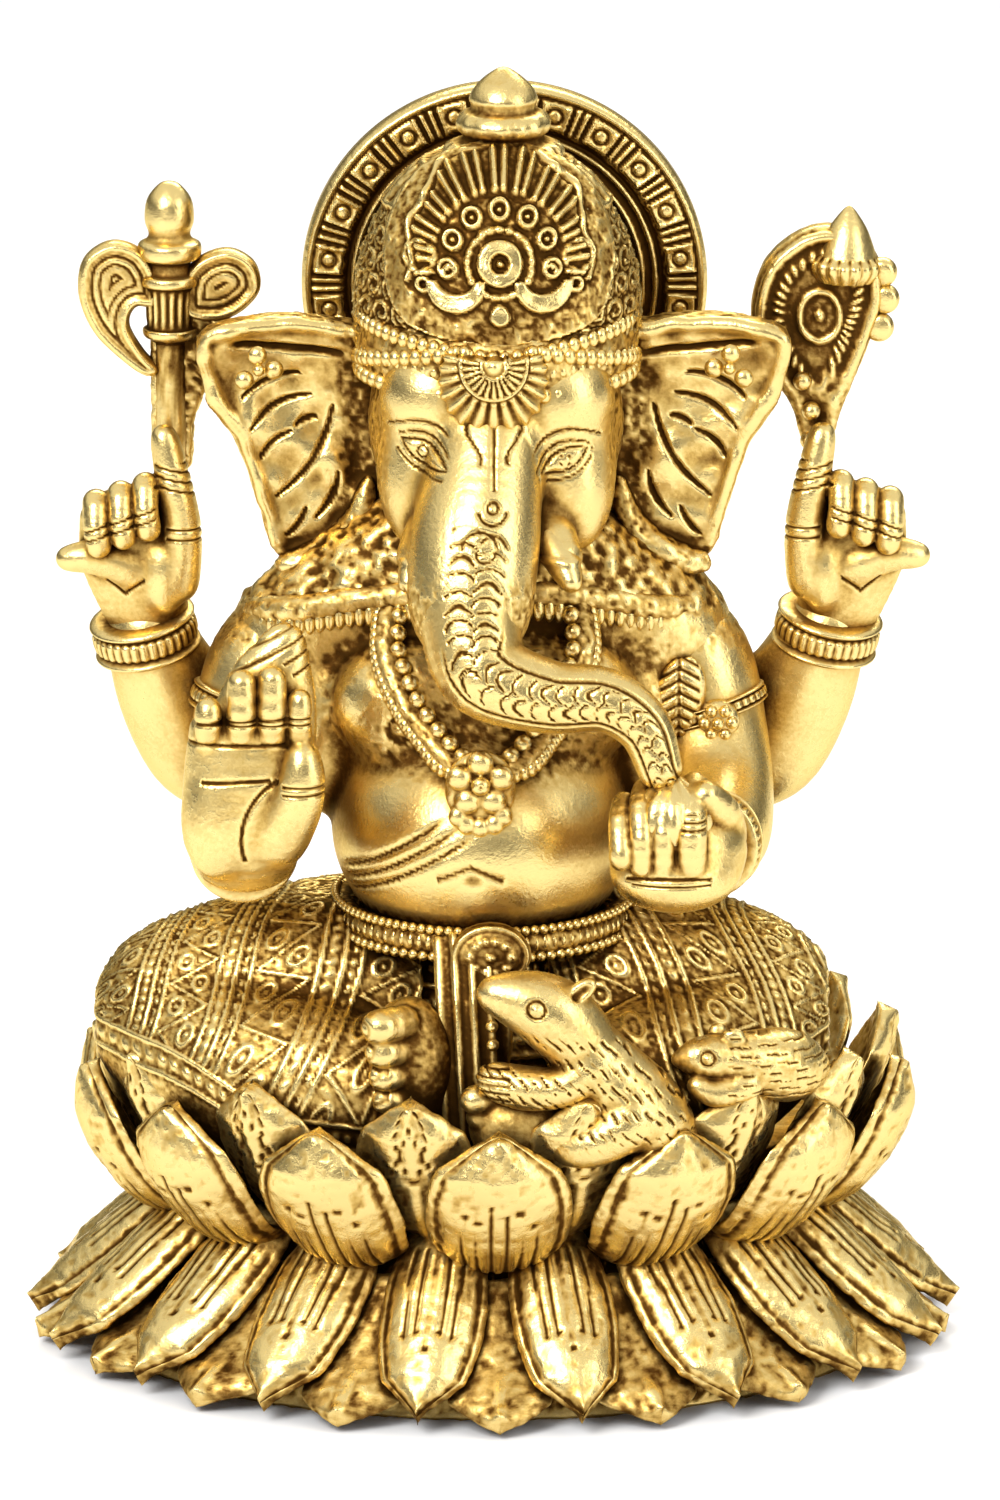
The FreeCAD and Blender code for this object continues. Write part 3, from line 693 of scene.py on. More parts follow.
def make_torso():
    """Hips, round belly, chest and a mantle over the shoulders, with navel, thread and punched shadows."""
    clay = Clay((-42, -38, 33), (38, 29, 137), 0.58)
    clay.add(oval((-1.5, 1.5, 50), (27, 24, 22)))
    clay.add(oval((-1.8, -8.5, 83), (23.2, 25.2, 20)), 7)
    clay.add(oval((-1.5, -4, 103), (27, 16.5, 16)), 6)
    clay.add([oval((-14, -15, 104), (10, 7.5, 9)), oval((11, -14, 104), (10, 7.5, 9))], 4)
    clay.add([oval((-26, -4, 98), (6.5, 9, 14)), oval((23, -4, 98), (6, 9, 14))], 3)
    clay.add(tube(SHOULDERS), 5)
    clay.cut(oval((-4, -35.4, 80.5), (2.8, 2.4, 1.5)), 0.8)
    clay.keep_above(SEAT_Z)
    skin = clay.skin()
    x, y, z = skin.points.T
    front = step_up(-14, -22, y)
    brow = np.abs(z - 82.8 + 0.45 * np.abs(x + 4))
    notch = ridge(brow, 0.9) * (np.abs(x + 4) < 5.2) * front
    skin.chase(-0.35 * notch, -0.2 * notch)
    fold = 0.0
    for k in range(3):
        along = z - (76.0 + 2.3 * k) - (0.66 + 0.02 * k) * (x + 21)
        reach = step_up(-26, -21, x) * (1 - step_up(-7 - 2 * k, -3 - 2 * k, x)) * front
        fold = fold + ridge(along, 0.8) * reach
    skin.chase(-0.45 * fold, -0.3 * fold)
    nipple_far = np.hypot(x + 14.5, z - 101.5)
    nipple = ridge(nipple_far, 1.0) - 0.6 * ridge(nipple_far - 1.9, 0.7)
    skin.chase(0.5 * nipple * front, -0.15 * np.abs(nipple) * front)
    spine = ridge(x, 2.4) * step_up(2, 12, y) * step_up(72, 80, z)
    skin.chase(-0.9 * spine, -0.05 * spine)
    shadow = step_up(92, 99, z) * (1 - 0.4 * step_up(14, 22, np.abs(x + 1.5)))
    cloth = 1 - step_up(70, 74, z)
    mantle = step_up(115, 118, z)
    skin.stipple(0.20, 1.1, 2, np.clip(0.08 + 0.85 * shadow + cloth + mantle, 0, 1))
    lumps = grain(skin.points, 1.7, 5) * mantle
    skin.chase(0.5 * lumps, 0.12 * lumps - 0.10 * mantle)
    hem = ridge(every(z - 34, 5.2), 0.8) * cloth
    beads = ridge(every(z - 36.6, 5.2), 1.0) * ridge(every(np.arctan2(x, y), 0.085), 0.045) * cloth
    skin.chase(0.5 * hem + 0.5 * beads, 0.15 * hem + 0.15 * beads)
    publish("torso", skin)


def leg_forms(side, reach):
    """Thigh, the cloth over the lap, and shin. reach is how far the knee is from the middle."""
    thigh = [
        (side * 0.2 * reach, 4, 54, 14, 17),
        (side * 0.4 * reach, 0, 54, 17.5, 18),
        (side * 0.64 * reach, -5, 53, 18, 17.5),
        (side * 0.84 * reach, -8, 52, 14, 15),
        (side * 0.9 * reach, -9, 51, 9, 10),
    ]
    shin = [
        (side * 0.80 * reach, -14, 49, 12, 12),
        (side * 0.64 * reach, -22, 47, 12, 12.5),
        (side * 0.46 * reach, -28, 46.5, 10.5, 11.5),
        (side * 0.33 * reach, -32, 46, 7.5, 9),
    ]
    lap = [
        (side * 0.20 * reach, -12, 55, 12, 13.5),
        (side * 0.48 * reach, -10, 57, 14, 14.5),
        (side * 0.72 * reach, -8.5, 54.5, 12, 13),
    ]
    return tube(thigh, (0, 1, 0)), tube(lap, (0, 1, 0)), tube(shin, (0, 1, 0))


def cloth_pattern(along, around_leg):
    """Chased cloth: bands across the leg, of ribbed cord, bead rows, and triangles filled with rings."""
    pitch = 13.0
    band = np.floor(along / pitch)
    place = along - band * pitch
    cords = ridge(place - 1.0, 0.55) + ridge(place - 3.6, 0.55) + ridge(place - 11.9, 0.5)
    ribs = ridge(place - 2.3, 1.0) * (0.35 + 0.65 * ridge(every(around_leg, 1.5), 0.7))
    wave = 3.4
    slant = np.abs(every(around_leg, 2 * wave)) / wave
    zigzag = ridge(place - 4.4 - 6.6 * slant, 0.55) * (place > 3.9) * (place < 11.5)
    rings = 0.0
    for centre_z, shift in ((9.3, 0.0), (6.2, wave)):
        far = np.hypot(every(around_leg + shift, 2 * wave), place - centre_z)
        rings = rings + ridge(far - 1.15, 0.5) + 0.8 * ridge(far, 0.45)
    dots = ridge(place - 12.9, 0.7) * ridge(every(around_leg, 1.6), 0.75)
    cords, rings = np.clip(cords, 0, 1), np.clip(rings, 0, 1)
    return 0.55 * cords + 0.45 * ribs + 0.45 * zigzag + 0.4 * rings + 0.4 * dots


def make_leg(name, side, reach):
    """A folded leg under chased cloth, with a beaded hem along the shin."""
    thigh, lap, shin = leg_forms(side, reach)
    clay = clay_round(name, 2, 0.42)
    clay.add(thigh).add(lap, 2.0).add(shin, 3.0)
    clay.keep_above(SEAT_Z)
    skin = clay.skin()
    x, y, z = skin.points.T
    out = side * x
    knee = step_up(-14, -24, y) * (1 - step_up(46, 56, z))
    along = out * 0.94 + 0.34 * (z - 50) + 0.10 * y
    around_leg = 18.5 * np.arctan2(z - 50, -(y + 4)) + 0.12 * out
    along = along + 1.7 * np.sin(along / 8.0) + 0.7 * np.sin(around_leg / 4.0 + side)
    pattern = cloth_pattern(along + 2.0, around_leg + 0.8 * np.sin(along / 5.0))
    hem_line = z - (40.5 + 0.10 * (out - 30) + 6.0 * step_up(30, 52, out))
    hem = ridge(hem_line, 0.7) + ridge(hem_line - 4.2, 0.7)
    hem_beads = ridge(hem_line - 2.1, 1.2) * ridge(every(out, 1.9), 0.9)
    border = step_up(5.2, 4.4, hem_line) * step_up(0, -10, y)
    pattern = pattern * (1 - border) + border * (0.6 * np.clip(hem, 0, 1) + 0.6 * hem_beads)
    skin.chase(0.75 * pattern - 0.2, 0.20 * pattern - 0.01)
    skin.stipple(0.12, 0.9, 6, np.clip(1 - 1.2 * pattern, 0.15, 1) * (1 - 0.3 * knee))
    publish(name, skin)


def toe(centre, length, radius):
    """A toe with a nail pad at its end, pointing to the figure's right."""
    x, y, z = centre
    return [
        *tube([(x + length, y + 2.2, z, radius), (x, y, z, radius * 1.04)], steps=2),
        oval((x - 0.35, y - 0.5, z + 0.1), (radius * 1.08, radius * 0.92, radius * 0.98)),
    ]


def make_right_foot():
    """Stands on its side, sole forward, with the toes up the edge."""
    clay = clay_round("right_foot", 3, 0.36)
    form = [(-15, -33, 43, 6), (-13.5, -35.5, 49, 6), (-13, -36.5, 55, 5.5), (-13.5, -37, 59, 4)]
    clay.add(tube(form), 2)
    for k in range(5):
        clay.add(toe((-17.5 + 0.4 * k, -43.0 + 0.5 * k, 60.6 - 4.0 * k), 3, 2.75 - 0.15 * k), 0.35)
    skin = clay.skin()
    x, y, z = skin.points.T
    nails = sum(ridge(np.hypot(y + 44.3 - 0.5 * k, z - 60.6 + 3.7 * k) - 1.2, 0.5) for k in range(5))
    nails = nails * (x < -16.5)
    sole = step_up(-15.5, -13.5, x)
    skin.chase(-0.25 * nails, -0.2 * nails - 0.22 * sole)
    skin.stipple(0.07, 0.9, 8, 0.25 + 0.6 * sole)
    publish("right_foot", skin)


def make_left_foot():
    """Lies across the front, under the large mouse."""
    clay = clay_round("left_foot", 4, 0.36)
    form = [(21, -34, 43, 6, 7), (12, -39, 44, 5.6, 6.6), (4, -41.5, 44.5, 5, 5.6), (0, -42, 45, 4, 4.8)]
    clay.add(tube(form, (0, 1, 0)), 2)
    for k in range(5):
        clay.add(toe((-3.2 + 0.9 * k, -44.0 + 0.7 * k, 49.4 - 2.9 * k), 5, 2.2 - 0.12 * k), 0.35)
    skin = clay.skin()
    skin.stipple(0.05, 0.8, 9, 0.5)
    publish("left_foot", skin)


# ---------------------------------------------------------------- dress and jewellery
BELT_CENTRE, BELT_A, BELT_B = (-1.5, -7.2), 22.6, 24.4


def belt_point(angle, out=0.0, lift=0.0):
    """A point on the belt. It sits under the belly and drops a little between the thighs and the back."""
    height = 70.2 - 0.5 * (1 - math.cos(angle)) + lift
    x = BELT_CENTRE[0] + (BELT_A + out) * math.sin(angle)
    return np.array([x, BELT_CENTRE[1] - (BELT_B + out) * math.cos(angle), height])


def make_belt():
    """A narrow ribbed belt between two bead rows."""
    rings = []
    for lift, radius in ((-2.1, 0.85), (2.1, 0.75)):
        path = [belt_point(theta, 0.5, lift) for theta in around(55)]
        rings += strung(path, radius, 2 * radius * 0.98, closed=True)
    band = []
    for theta in around(96):
        piece = bead((0, 0, 0), (0.72, 1.2, 1.35), 8, 8)
        turn = np.array([[math.cos(theta), -math.sin(theta)], [math.sin(theta), math.cos(theta)]])
        piece.points[:, :2] = piece.points[:, :2] @ turn.T
        piece.points += belt_point(theta)
        band.append(piece)
    clay = Clay((-30, -36, 65), (27, 22, 79), 0.4)
    clay.add(tube([(*belt_point(theta, -0.9), 2.3, 1.9) for theta in [*around(40), 0.0]], UP, 1))
    core = clay.skin().stipple(0.12, 0.8, 13, 1.0)
    core.tone -= 0.3
    publish("waist_belt", joined([core, *rings, *band]))


def make_buckle():
    """An oval boss chased as a ten-petalled flower."""
    clay = Clay((-11, -41, 61), (9, -28, 79), 0.3)
    clay.add(oval((-1, -33.6, 69.2), (6.4, 2.8, 4.9)))
    skin = clay.skin()
    x, z = skin.points[:, 0] + 1, skin.points[:, 2] - 69.4
    far = np.hypot(x * 0.9, z * 1.15)
    petals = ridge(far - 2.9, 1.0) * (0.35 + 0.65 * ridge(every(np.arctan2(z, x), np.pi / 5), 0.24))
    height = 0.8 * ridge(far, 1.0) + 0.7 * petals + 0.6 * ridge(far - 4.9, 0.5) - 0.2
    skin.chase(height, 0.2 * petals - 0.12)
    publish("belt_buckle", skin.stipple(0.08, 0.8, 17, 0.6))


def make_apron():
    """The pleated end of the cloth that hangs from the buckle, with a string of beads."""
    clay = Clay((-12, -44, 41), (6, -27, 71), 0.32)
    cloth = [
        (-3, -31, 70, 6.5, 3), (-3.5, -35.5, 62, 6, 3.2), (-4, -37.5, 52, 5.6, 2.8),
        (-4, -38, 43, 5.6, 2.2),
    ]
    clay.add(tube(cloth))
    skin = clay.skin()
    x, _, z = skin.points.T
    pleats = ridge(every(x + 3.5 + 0.05 * (z - 60), 2.6), 1.0)
    skin.chase(0.7 * pleats - 0.3, 0.2 * pleats - 0.2)
    skin.stipple(0.1, 0.8, 12, 0.8 * (1 - pleats))
    string = strung([(-1.6, -35.5, 67), (-1.0, -39.2, 61), (-0.8, -40.6, 57)], 1.0, 1.95)
    publish("apron", joined([skin, *string]))


def necklace_path(shift=0.0, lift=0.0):
    """From the left shoulder down to the pendant and up to the right one. shift widens the loop."""
    half = [(15, -11, 121), (16, -17.8, 113), (13.5, -22.6, 106.5), (9.5, -25.6, 101), (4.6, -28.8, 97)]
    left = [(-x - 1 - shift, y - lift, z - 0.4 * shift) for x, y, z in half]
    right = [(x - 2 + shift, y - lift, z - 0.4 * shift) for x, y, z in reversed(half)]
    return left + right


def make_necklace():
    """A strand of close beads with a row of larger ones inside it, on a rough bed."""
    rope = strung(necklace_path(1.3, 0.2), (0.95, 1.1, 1.25), 1.25)
    inner = strung(necklace_path(-2.1, 0.6), (1.45, 1.3, 1.45), 2.75)
    bed = tube([(x, y + 1.4, z, 2.9, 2.2) for x, y, z in necklace_path(-0.4)], (0, 1, 0.3), 3)
    clay = Clay((-28, -38, 87), (26, -3, 126), 0.42)
    clay.add(bed)
    skin = clay.skin()
    skin.stipple(0.15, 0.8, 14, 1.0)
    skin.tone -= 0.25
    publish("necklace", joined([skin, *rope, *inner]))


def make_pendant():
    """A flower of five petals over a fan of five more."""
    clay = Clay((-11, -38, 84), (6, -25, 103), 0.28)
    clay.add(oval((-2.5, -30.6, 94.5), (5.4, 2.6, 6.0)))
    for k in range(5):
        turn = math.radians(90 + 72 * k)
        place = (-2.5 + 3.3 * math.cos(turn), -32.5, 95.7 + 3.3 * math.sin(turn))
        clay.add(oval(place, (2.0, 1.4, 2.0)), 0.2)
    for k in range(5):
        turn = math.radians(200 + 35 * k)
        place = (-2.5 + 3.6 * math.cos(turn), -32.3, 91.5 + 2.6 * math.sin(turn))
        clay.add(oval(place, (1.5, 1.3, 1.7)), 0.2)
    clay.add(oval((-2.5, -33.5, 95.7), (1.5, 1.2, 1.5)))
    skin = clay.skin()
    x, z = skin.points[:, 0] + 2.5, skin.points[:, 2] - 95.7
    skin.chase(-0.35 * ridge(np.hypot(x, z), 0.55) * (skin.points[:, 1] < -33.5), 0.05)
    publish("pendant", skin)


def make_collar():
    """A bead ring with tassels that lies over the shoulders, on the mantle."""
    side = [(10, -14.6, 121), (16, -13.2, 120), (22, -11.4, 119), (28, -9.6, 117.4), (33.6, -6.0, 116.4)]
    side += [(37.0, 1, 114.6), (32.5, 9.6, 113), (21, 12, 115.5), (10, 13.5, 118.5)]
    loop = [(-1, -16, 121), *((x - 4, y, z) for x, y, z in side), (-1, 14, 119)]
    loop += [(-x - 0.6, y, z) for x, y, z in reversed(side)]
    ring = smooth_path(loop, 4, closed=True)
    core = Clay((-44, -20, 106), (42, 18, 127), 0.45)
    core.add(tube([(*p, 2.2, 1.9) for p in [*ring[::2], ring[0]]], UP, 1))
    skin = core.skin()
    skin.stipple(0.16, 0.9, 15, 1.0)
    skin.tone -= 0.2
    tassels = []
    centre = ring.mean(axis=0)
    for point in ring:
        out = unit((point - centre) * (1, 1, 0))
        tassels.append(bead(point + out * 1.1 + (0, 0, -2.3), (0.95, 0.95, 2.0), 8, 8))
    publish("shoulder_collar", joined([skin, *tassels, *strung(ring, 1.15, 2.2, closed=True)]))


# ---------------------------------------------------------------- arms and hands
FRONT_ARM = {
    -1: [
        (-29, 1, 112, 8.2, 8.2), (
            -34.5, 0, 106, 9.2, 9.2,
        ), (-37.5, -2, 96, 8.8, 9.1), (-38.5, -9, 88, 8.6, 8.6),
        (-38.5, -20, 85, 7.6, 7.6), (-38, -31, 85, 6.2, 6.2),
    ],
    1: [
        (26, 1, 112, 8.2, 8.2), (30.5, 0, 106, 9.2, 9.2), (33, -2, 96, 8.8, 9.1), (34, -9, 88, 8.6, 8.6),
        (34, -20, 84.5, 7.6, 7.6), (31.5, -29, 85, 6.2, 6.2),
    ],
}
REAR_UPPER = [(24, 9, 110, 7, 7), (33, 12, 101, 7.8, 7.8), (40, 13, 92, 8, 7.8), (43.5, 12.5, 88, 6, 6)]
REAR_FORE = [
    (41, 13, 86.5, 6.5, 6), (44.5, 12, 91, 8.5, 8), (49, 9.5, 100.5, 7.9, 7.5),
    (52.8, 6, 111, 5.6, 5.4),
]
REAR_SHIFT = -1.0
WORDS = {-1: "right", 1: "left"}


def sided(side, stations, shift=0.0):
    """Stations of the figure's left, carried to one side: -1 right, 1 left."""
    return [(side * s[0] + shift, *s[1:]) for s in stations]


def ribbed_ring(name, *shape):
    publish_polished(name, ring_skin(*shape))


def ring_skin(centre, along, inner, outer, height, ribs=34):
    """A cast bracelet: a ribbed middle between two plain rims."""
    depth = outer - inner
    rim, middle = inner + 0.72 * depth, inner + 0.86 * depth
    half = height / 2
    profile = [
        (inner, -half), (rim, -half), (outer, -0.78 * half), (rim, -0.52 * half), (middle, -0.3 * half),
    ]
    profile += [(r, -h) for r, h in reversed(profile)]

    def teeth(angle, lift, _radius):
        return 0.35 * ridge(every(angle, 2 * np.pi / ribs), np.pi / ribs) * (np.abs(lift) < 0.5 * half)

    skin = turned(profile, centre, along, 4 * ribs, 5, teeth)
    return skin.stipple(0.05, 0.7, 16, 0.5)


def make_front_arms():
    """Both front arms, with their armlets and bracelets."""
    for side, word in WORDS.items():
        name = f"front_{word}_arm"
        clay = clay_round(name, 3, 0.5)
        clay.add(tube(FRONT_ARM[side]), 1.0)
        skin = clay.skin()
        z = skin.points[:, 2]
        skin.stipple(0.16, 1.0, 20 + side, np.clip(0.12 + step_up(108, 113, z), 0, 1))
        publish(name, skin)
    ribbed_ring("right_armlet", (-36.4, -1.4, 99.5), (-0.3, -0.1, -1), 8.2, 10.6, 4.0, 40)
    ring = ring_skin((32.2, -1.4, 99.5), (0.3, -0.1, -1), 8.2, 10.2, 2.6, 40)
    publish_polished("left_armlet", joined([ring, *armlet_leaf()]))
    ribbed_ring("front_right_bracelet", (-38.4, -28.5, 85), (0.1, -1, 0), 5.2, 8.3, 4.5)
    ribbed_ring("front_left_bracelet", (32.2, -26.5, 84.8), (-0.3, -1, 0.03), 5.2, 8.3, 4.5)


def armlet_leaf():
    """The left armlet's front: a feathered leaf with a flower of beads beside it."""
    clay = Clay((21, -17, 92), (40, -5, 113), 0.3)
    clay.add(oval((28.2, -10.2, 103.2), (4.0, 2.0, 6.8), 14))
    clay.add(oval((34.2, -10.0, 99.6), (3.4, 2.0, 3.4)), 0.4)
    skin = clay.skin()
    x, _, z = skin.points.T
    feather = ridge(every(z + 0.55 * np.abs(x - 28.2), 1.9), 0.55) * (x < 31.4)
    keel = ridge(x - 28.2, 0.45)
    skin.chase(-0.35 * feather - 0.25 * keel, -0.4 * np.maximum(feather, keel))
    ring = [(34.2 + 2.1 * math.cos(t), -11.6, 99.6 + 2.1 * math.sin(t)) for t in around(6)]
    return [skin, *(bead(place, (1.0, 0.9, 1.0)) for place in ring), bead((34.2, -12.0, 99.6), 1.0)]


def make_raised_hand():
    """The right palm, raised towards the viewer, with its fingers bent at the middle joints."""
    clay = Clay((-50, -46, 78), (-24, -28, 124), 0.33)
    palm = [
        (-38, -33.5, 84, 7.6, 4.6), (-38.2, -36, 89, 9.2, 5.6), (-38, -37, 97, 9.4, 5.2),
        (-37.2, -37, 105, 9.2, 4.4),
    ]
    clay.add(tube(palm))
    leaf_behind = [(-35.5, -36, 104, 7.8, 3.6), (-34, -35.6, 112, 6.4, 3.2), (-31.6, -35, 119.6, 2.6, 2.0)]
    clay.add(tube(leaf_behind), 1.5)
    clay.add(oval((-42.5, -38.6, 91), (4.6, 3.6, 8)), 2.0)
    fingers = [(-43.4, 111.2, 1.9), (-38.4, 115.2, 2.15), (-33.8, 115.8, 2.1), (-29.7, 112.6, 1.75)]
    for x, top, width in fingers:
        finger = [
            (x, -38.5, 103.5, width), (x - 0.1, -40.6, 107.5, width * 1.04),
            (x, -40.6, top - 1.5, width),
        ]
        clay.add(tube(finger, steps=3), 0.4)
    thumb = [
        (-33.4, -38.2, 88.5, 4.4, 3.6), (-30.6, -40.2, 94, 3.7, 3.2), (-29.4, -41, 99, 3.0, 2.8),
        (-29.4, -40.8, 102.4, 2.2),
    ]
    clay.add(tube(thumb), 1.2)
    skin = clay.skin()
    x, y, z = skin.points.T
    front = step_up(-36, -38.5, y)
    life = ridge(z - 98.6 - 0.05 * (x + 40), 0.55) * (x > -44.6) * (x < -34.2)
    thumb_line = ridge(np.hypot(x + 28, z - 89.5) - 10.6, 0.55) * (z > 86) * (z < 99) * (x < -33)
    joints = (ridge(z - 109.7 - 0.04 * x, 0.4) + ridge(z - 107.6, 0.4)) * (z > 103) * (y < -39)
    heel = ridge(z - 104.2, 0.5) * (x < -31.5)
    thumb_joint = (ridge(z - 98.2, 0.4) + ridge(z - 97.0, 0.4)) * (x > -32.5) * (z < 103)
    lines = np.clip(life + thumb_line + joints + heel + thumb_joint, 0, 1) * front
    behind = ridge(every(z - 0.5 * x, 2.4), 0.5) * (y > -38.4) * step_up(113, 115, z)
    skin.chase(-0.38 * lines - 0.3 * behind, -0.35 * lines - 0.25 * behind)
    skin.stipple(0.035, 0.8, 22, 0.25)
    publish("front_right_hand", skin)


def make_fist():
    """The left hand closed round the sweet, seen from its curled fingers."""
    clay = Clay((12, -50, 75), (42, -26, 101), 0.33)
    clay.add(oval((27.3, -37, 86.5), (10.4, 8.6, 8.4)))
    clay.add(oval((26.6, -39.5, 83.2), (9.4, 7.6, 5.4)), 2)
    fingers = [
        (18.4, 93.5, 1.75, 87.2), (21.5, 95.6, 1.8, 86.2), (24.8, 96.4, 1.85, 85.8),
        (29.0, 96.0, 2.3, 86.4),
    ]
    for x, top, width, foot in fingers:
        curl = [(x + 0.6, -38.5, top + 0.8, width), (x, -42.6, top - 1.2, width * 1.05)]
        curl += [(x, -45.2, top - 5, width), (x, -45.0, foot, width * 0.95)]
        clay.add(tube(curl, steps=3), 0.3)
    clay.add(tube([(34.4, -34, 88, 3.4), (33.6, -39, 93, 2.8), (31.2, -42, 96.5, 2.2)], steps=3), 0.6)
    skin = clay.skin()
    x, y, z = skin.points.T
    crease = ridge(z - 84.6 + 0.035 * (x - 26) ** 2 * 0.3, 0.45) + ridge(z - 83.4, 0.35) * (x > 20)
    crease = crease * (y < -44) * (x > 18) * (x < 32)
    joint = ridge(every(z - 93.4, 1.2), 0.35) * (np.abs(z - 93) < 1.6)
    joint = joint * (x > 26.6) * (x < 31.3) * (y < -42)
    lines = -0.35 * np.clip(crease + joint, 0, 1)
    skin.chase(lines, lines)
    skin.stipple(0.035, 0.8, 23, 0.25)
    publish("front_left_hand", skin)


def make_sweet():
    """The ribbed sweet in the fist, with the trunk's tip on it."""

    def lobes(angle, _lift, radius):
        return 0.05 * radius * np.cos(10 * angle)

    profile = [(0.3, -6.2), (3.6, -5.2), (6.1, -1), (5.4, 3), (2.8, 5.6), (0.4, 7.2)]
    publish_polished("sweet_ball", turned(profile, (26.1, -40.6, 92.4), columns=72, smooth=6, ribs=lobes))


def make_rear_arms():
    """Both rear arms, bent up at the elbow, with their bracelets."""
    for side, word in WORDS.items():
        name = f"rear_{word}_arm"
        clay = clay_round(name, 3, 0.5)
        clay.add(tube(sided(side, REAR_UPPER, REAR_SHIFT), (0, 1, 0)), 1.0)
        clay.add(tube(sided(side, REAR_FORE, REAR_SHIFT), (0, 1, 0)), 2.5)
        skin = clay.skin()
        inner = 1 - step_up(34, 42, side * skin.points[:, 0])
        skin.stipple(0.13, 0.9, 24 + side, np.clip(0.08 + inner, 0, 1))
        publish(name, skin)
        wrist = (side * 52.7 + REAR_SHIFT, 6.4, 109.8)
        ribbed_ring(f"rear_{word}_bracelet", wrist, (side * 0.2, -0.2, 1), 5.0, 8.3, 6.4)


def make_rear_hands():
    """Fists with the forefinger up and the thumb out to the side."""
    for side, word in WORDS.items():
        clay = clay_round(f"rear_{word}_hand", 3, 0.33)
        palm = [
            (52.6, 6, 111, 5.8, 5), (54.2, 5, 117, 7.2, 5), (55.4, 4, 123, 8.2, 5),
            (56.2, 3.6, 129, 7.4, 4.6),
        ]
        clay.add(tube(sided(side, palm)))
        clay.add(oval((side * 50.6, 1.0, 120.5), (3.9, 3.6, 6.4)), 1.5)
        index = [(48.4, 1, 119, 3.1), (47.7, 0.2, 127, 2.8), (49.0, 0.2, 135, 2.6), (50.4, 0.6, 142, 2.0)]
        clay.add(tube(sided(side, index)), 0.8)
        for k, x in enumerate((53.3, 57.1, 60.9)):
            drop = 1.3 * k
            curl = [(x, 3.6, 133 - drop, 2.1), (x, -0.6, 134.6 - drop, 2.05)]
            curl += [(x, -2.6, 131.4 - drop, 1.95), (x - 0.4, -2.8, 128.4 - drop, 1.95)]
            clay.add(tube(sided(side, curl), steps=3), 0.25)
        thumb = [(55, 1.5, 121, 3.2), (60.5, 0.4, 123.2, 2.6), (65.4, 0.4, 123.0, 1.8)]
        clay.add(tube(sided(side, thumb)), 0.8)
        skin = clay.skin()
        x, y, z = skin.points.T
        out = side * x
        front = y < 1.5
        joints = ridge(every(z - 0.2 * out, 1.5), 0.35) * (np.abs(z - 136) < 2.6) * (out < 52)
        joints = joints + (ridge(z - 126.5, 0.35) + ridge(z - 128, 0.35)) * (out < 50.2)
        tips = ridge(np.abs(z - 130.5 + 0.33 * (out - 53)) - 0.75, 0.35) * (out > 51.6) * (z > 125)
        beside = np.abs(out - 56.5)
        wrist = ridge(z - 117.5 - 0.8 * beside, 0.5) * (z < 121) * (z > 116.8) * (beside < 3)
        lines = np.clip(joints + tips + wrist, 0, 1) * front
        skin.chase(-0.33 * lines, -0.35 * lines).stipple(0.035, 0.8, 27, 0.3)
        publish(f"rear_{word}_hand", skin)


# ---------------------------------------------------------------- axe and noose
AXE_SHAFT = [
    (2.4, 0), (2.5, 8), (2.4, 19), (2.6, 20.4), (4.0, 21.3), (4.2, 22.4), (3.5, 23.2), (3.7, 28.4),
    (
        4.5, 29.4,
    ), (4.4, 30.6), (3.4, 31.2), (3.3, 32.8), (4.7, 33.6), (4.8, 35.6), (3.6, 36.4), (3.2, 37.4),
    (3.8, 39.4), (3.4, 42.6), (1.6, 44.9), (0.2, 45.4),
]
AXE_BLADE = [
    (-51.5, 166.6), (-54, 170.4), (-58.5, 171.6), (-62.6, 168.8), (-63.4, 163.4), (-61.2, 157.6),
    (-57.0, 153.2), (-53.2, 150.6), (-51.0, 151.5), (-53.4, 154.4), (-55.6, 158.4), (-54.6, 161.4),
    (-51.4, 161.6),
]
AXE_BACK = [
    (-47.2, 166), (-44.6, 169.2), (-40.2, 170.4), (-36.4, 168.2), (-35.6, 164.0), (-38.8, 160.4),
    (-43, 159.2), (-47.2, 160.4),
]
AXE_WEB = [
    (
        -51.6, 136,
    ), (-52.4, 146), (-51.5, 160), (-44, 160), (-39, 158), (-43, 150), (-45.6, 144), (-46.6, 136),
]


def axe_blade(outline):
    """A flat blade with a raised rim, a groove inside it, and fine lines that follow the edge."""
    clay = Clay((-66, 2, 147), (-33, 10, 174), 0.33)
    clay.add(leaf(outline, 4.2, 7.8, 1.0))
    skin = clay.skin()
    x, _, z = skin.points.T
    inset = -outline_distance(smooth_path(outline, 6, closed=True), x, z)
    rim, groove = 0.9, 0.45
    height = ridge(inset - 0.8 * rim, rim) - 0.7 * ridge(inset - 1.9 * rim - groove, groove)
    flat = step_up(0.1, 0.9, inset)
    ring = ridge(every(inset, 1.7), 0.4)
    inside = step_up(2.4, 2.8, inset)
    skin.chase((0.45 * height - 0.2 * ring * inside) * flat, -0.3 * ring * inside)
    return skin.stipple(0.05, 0.8, 31, 0.6)


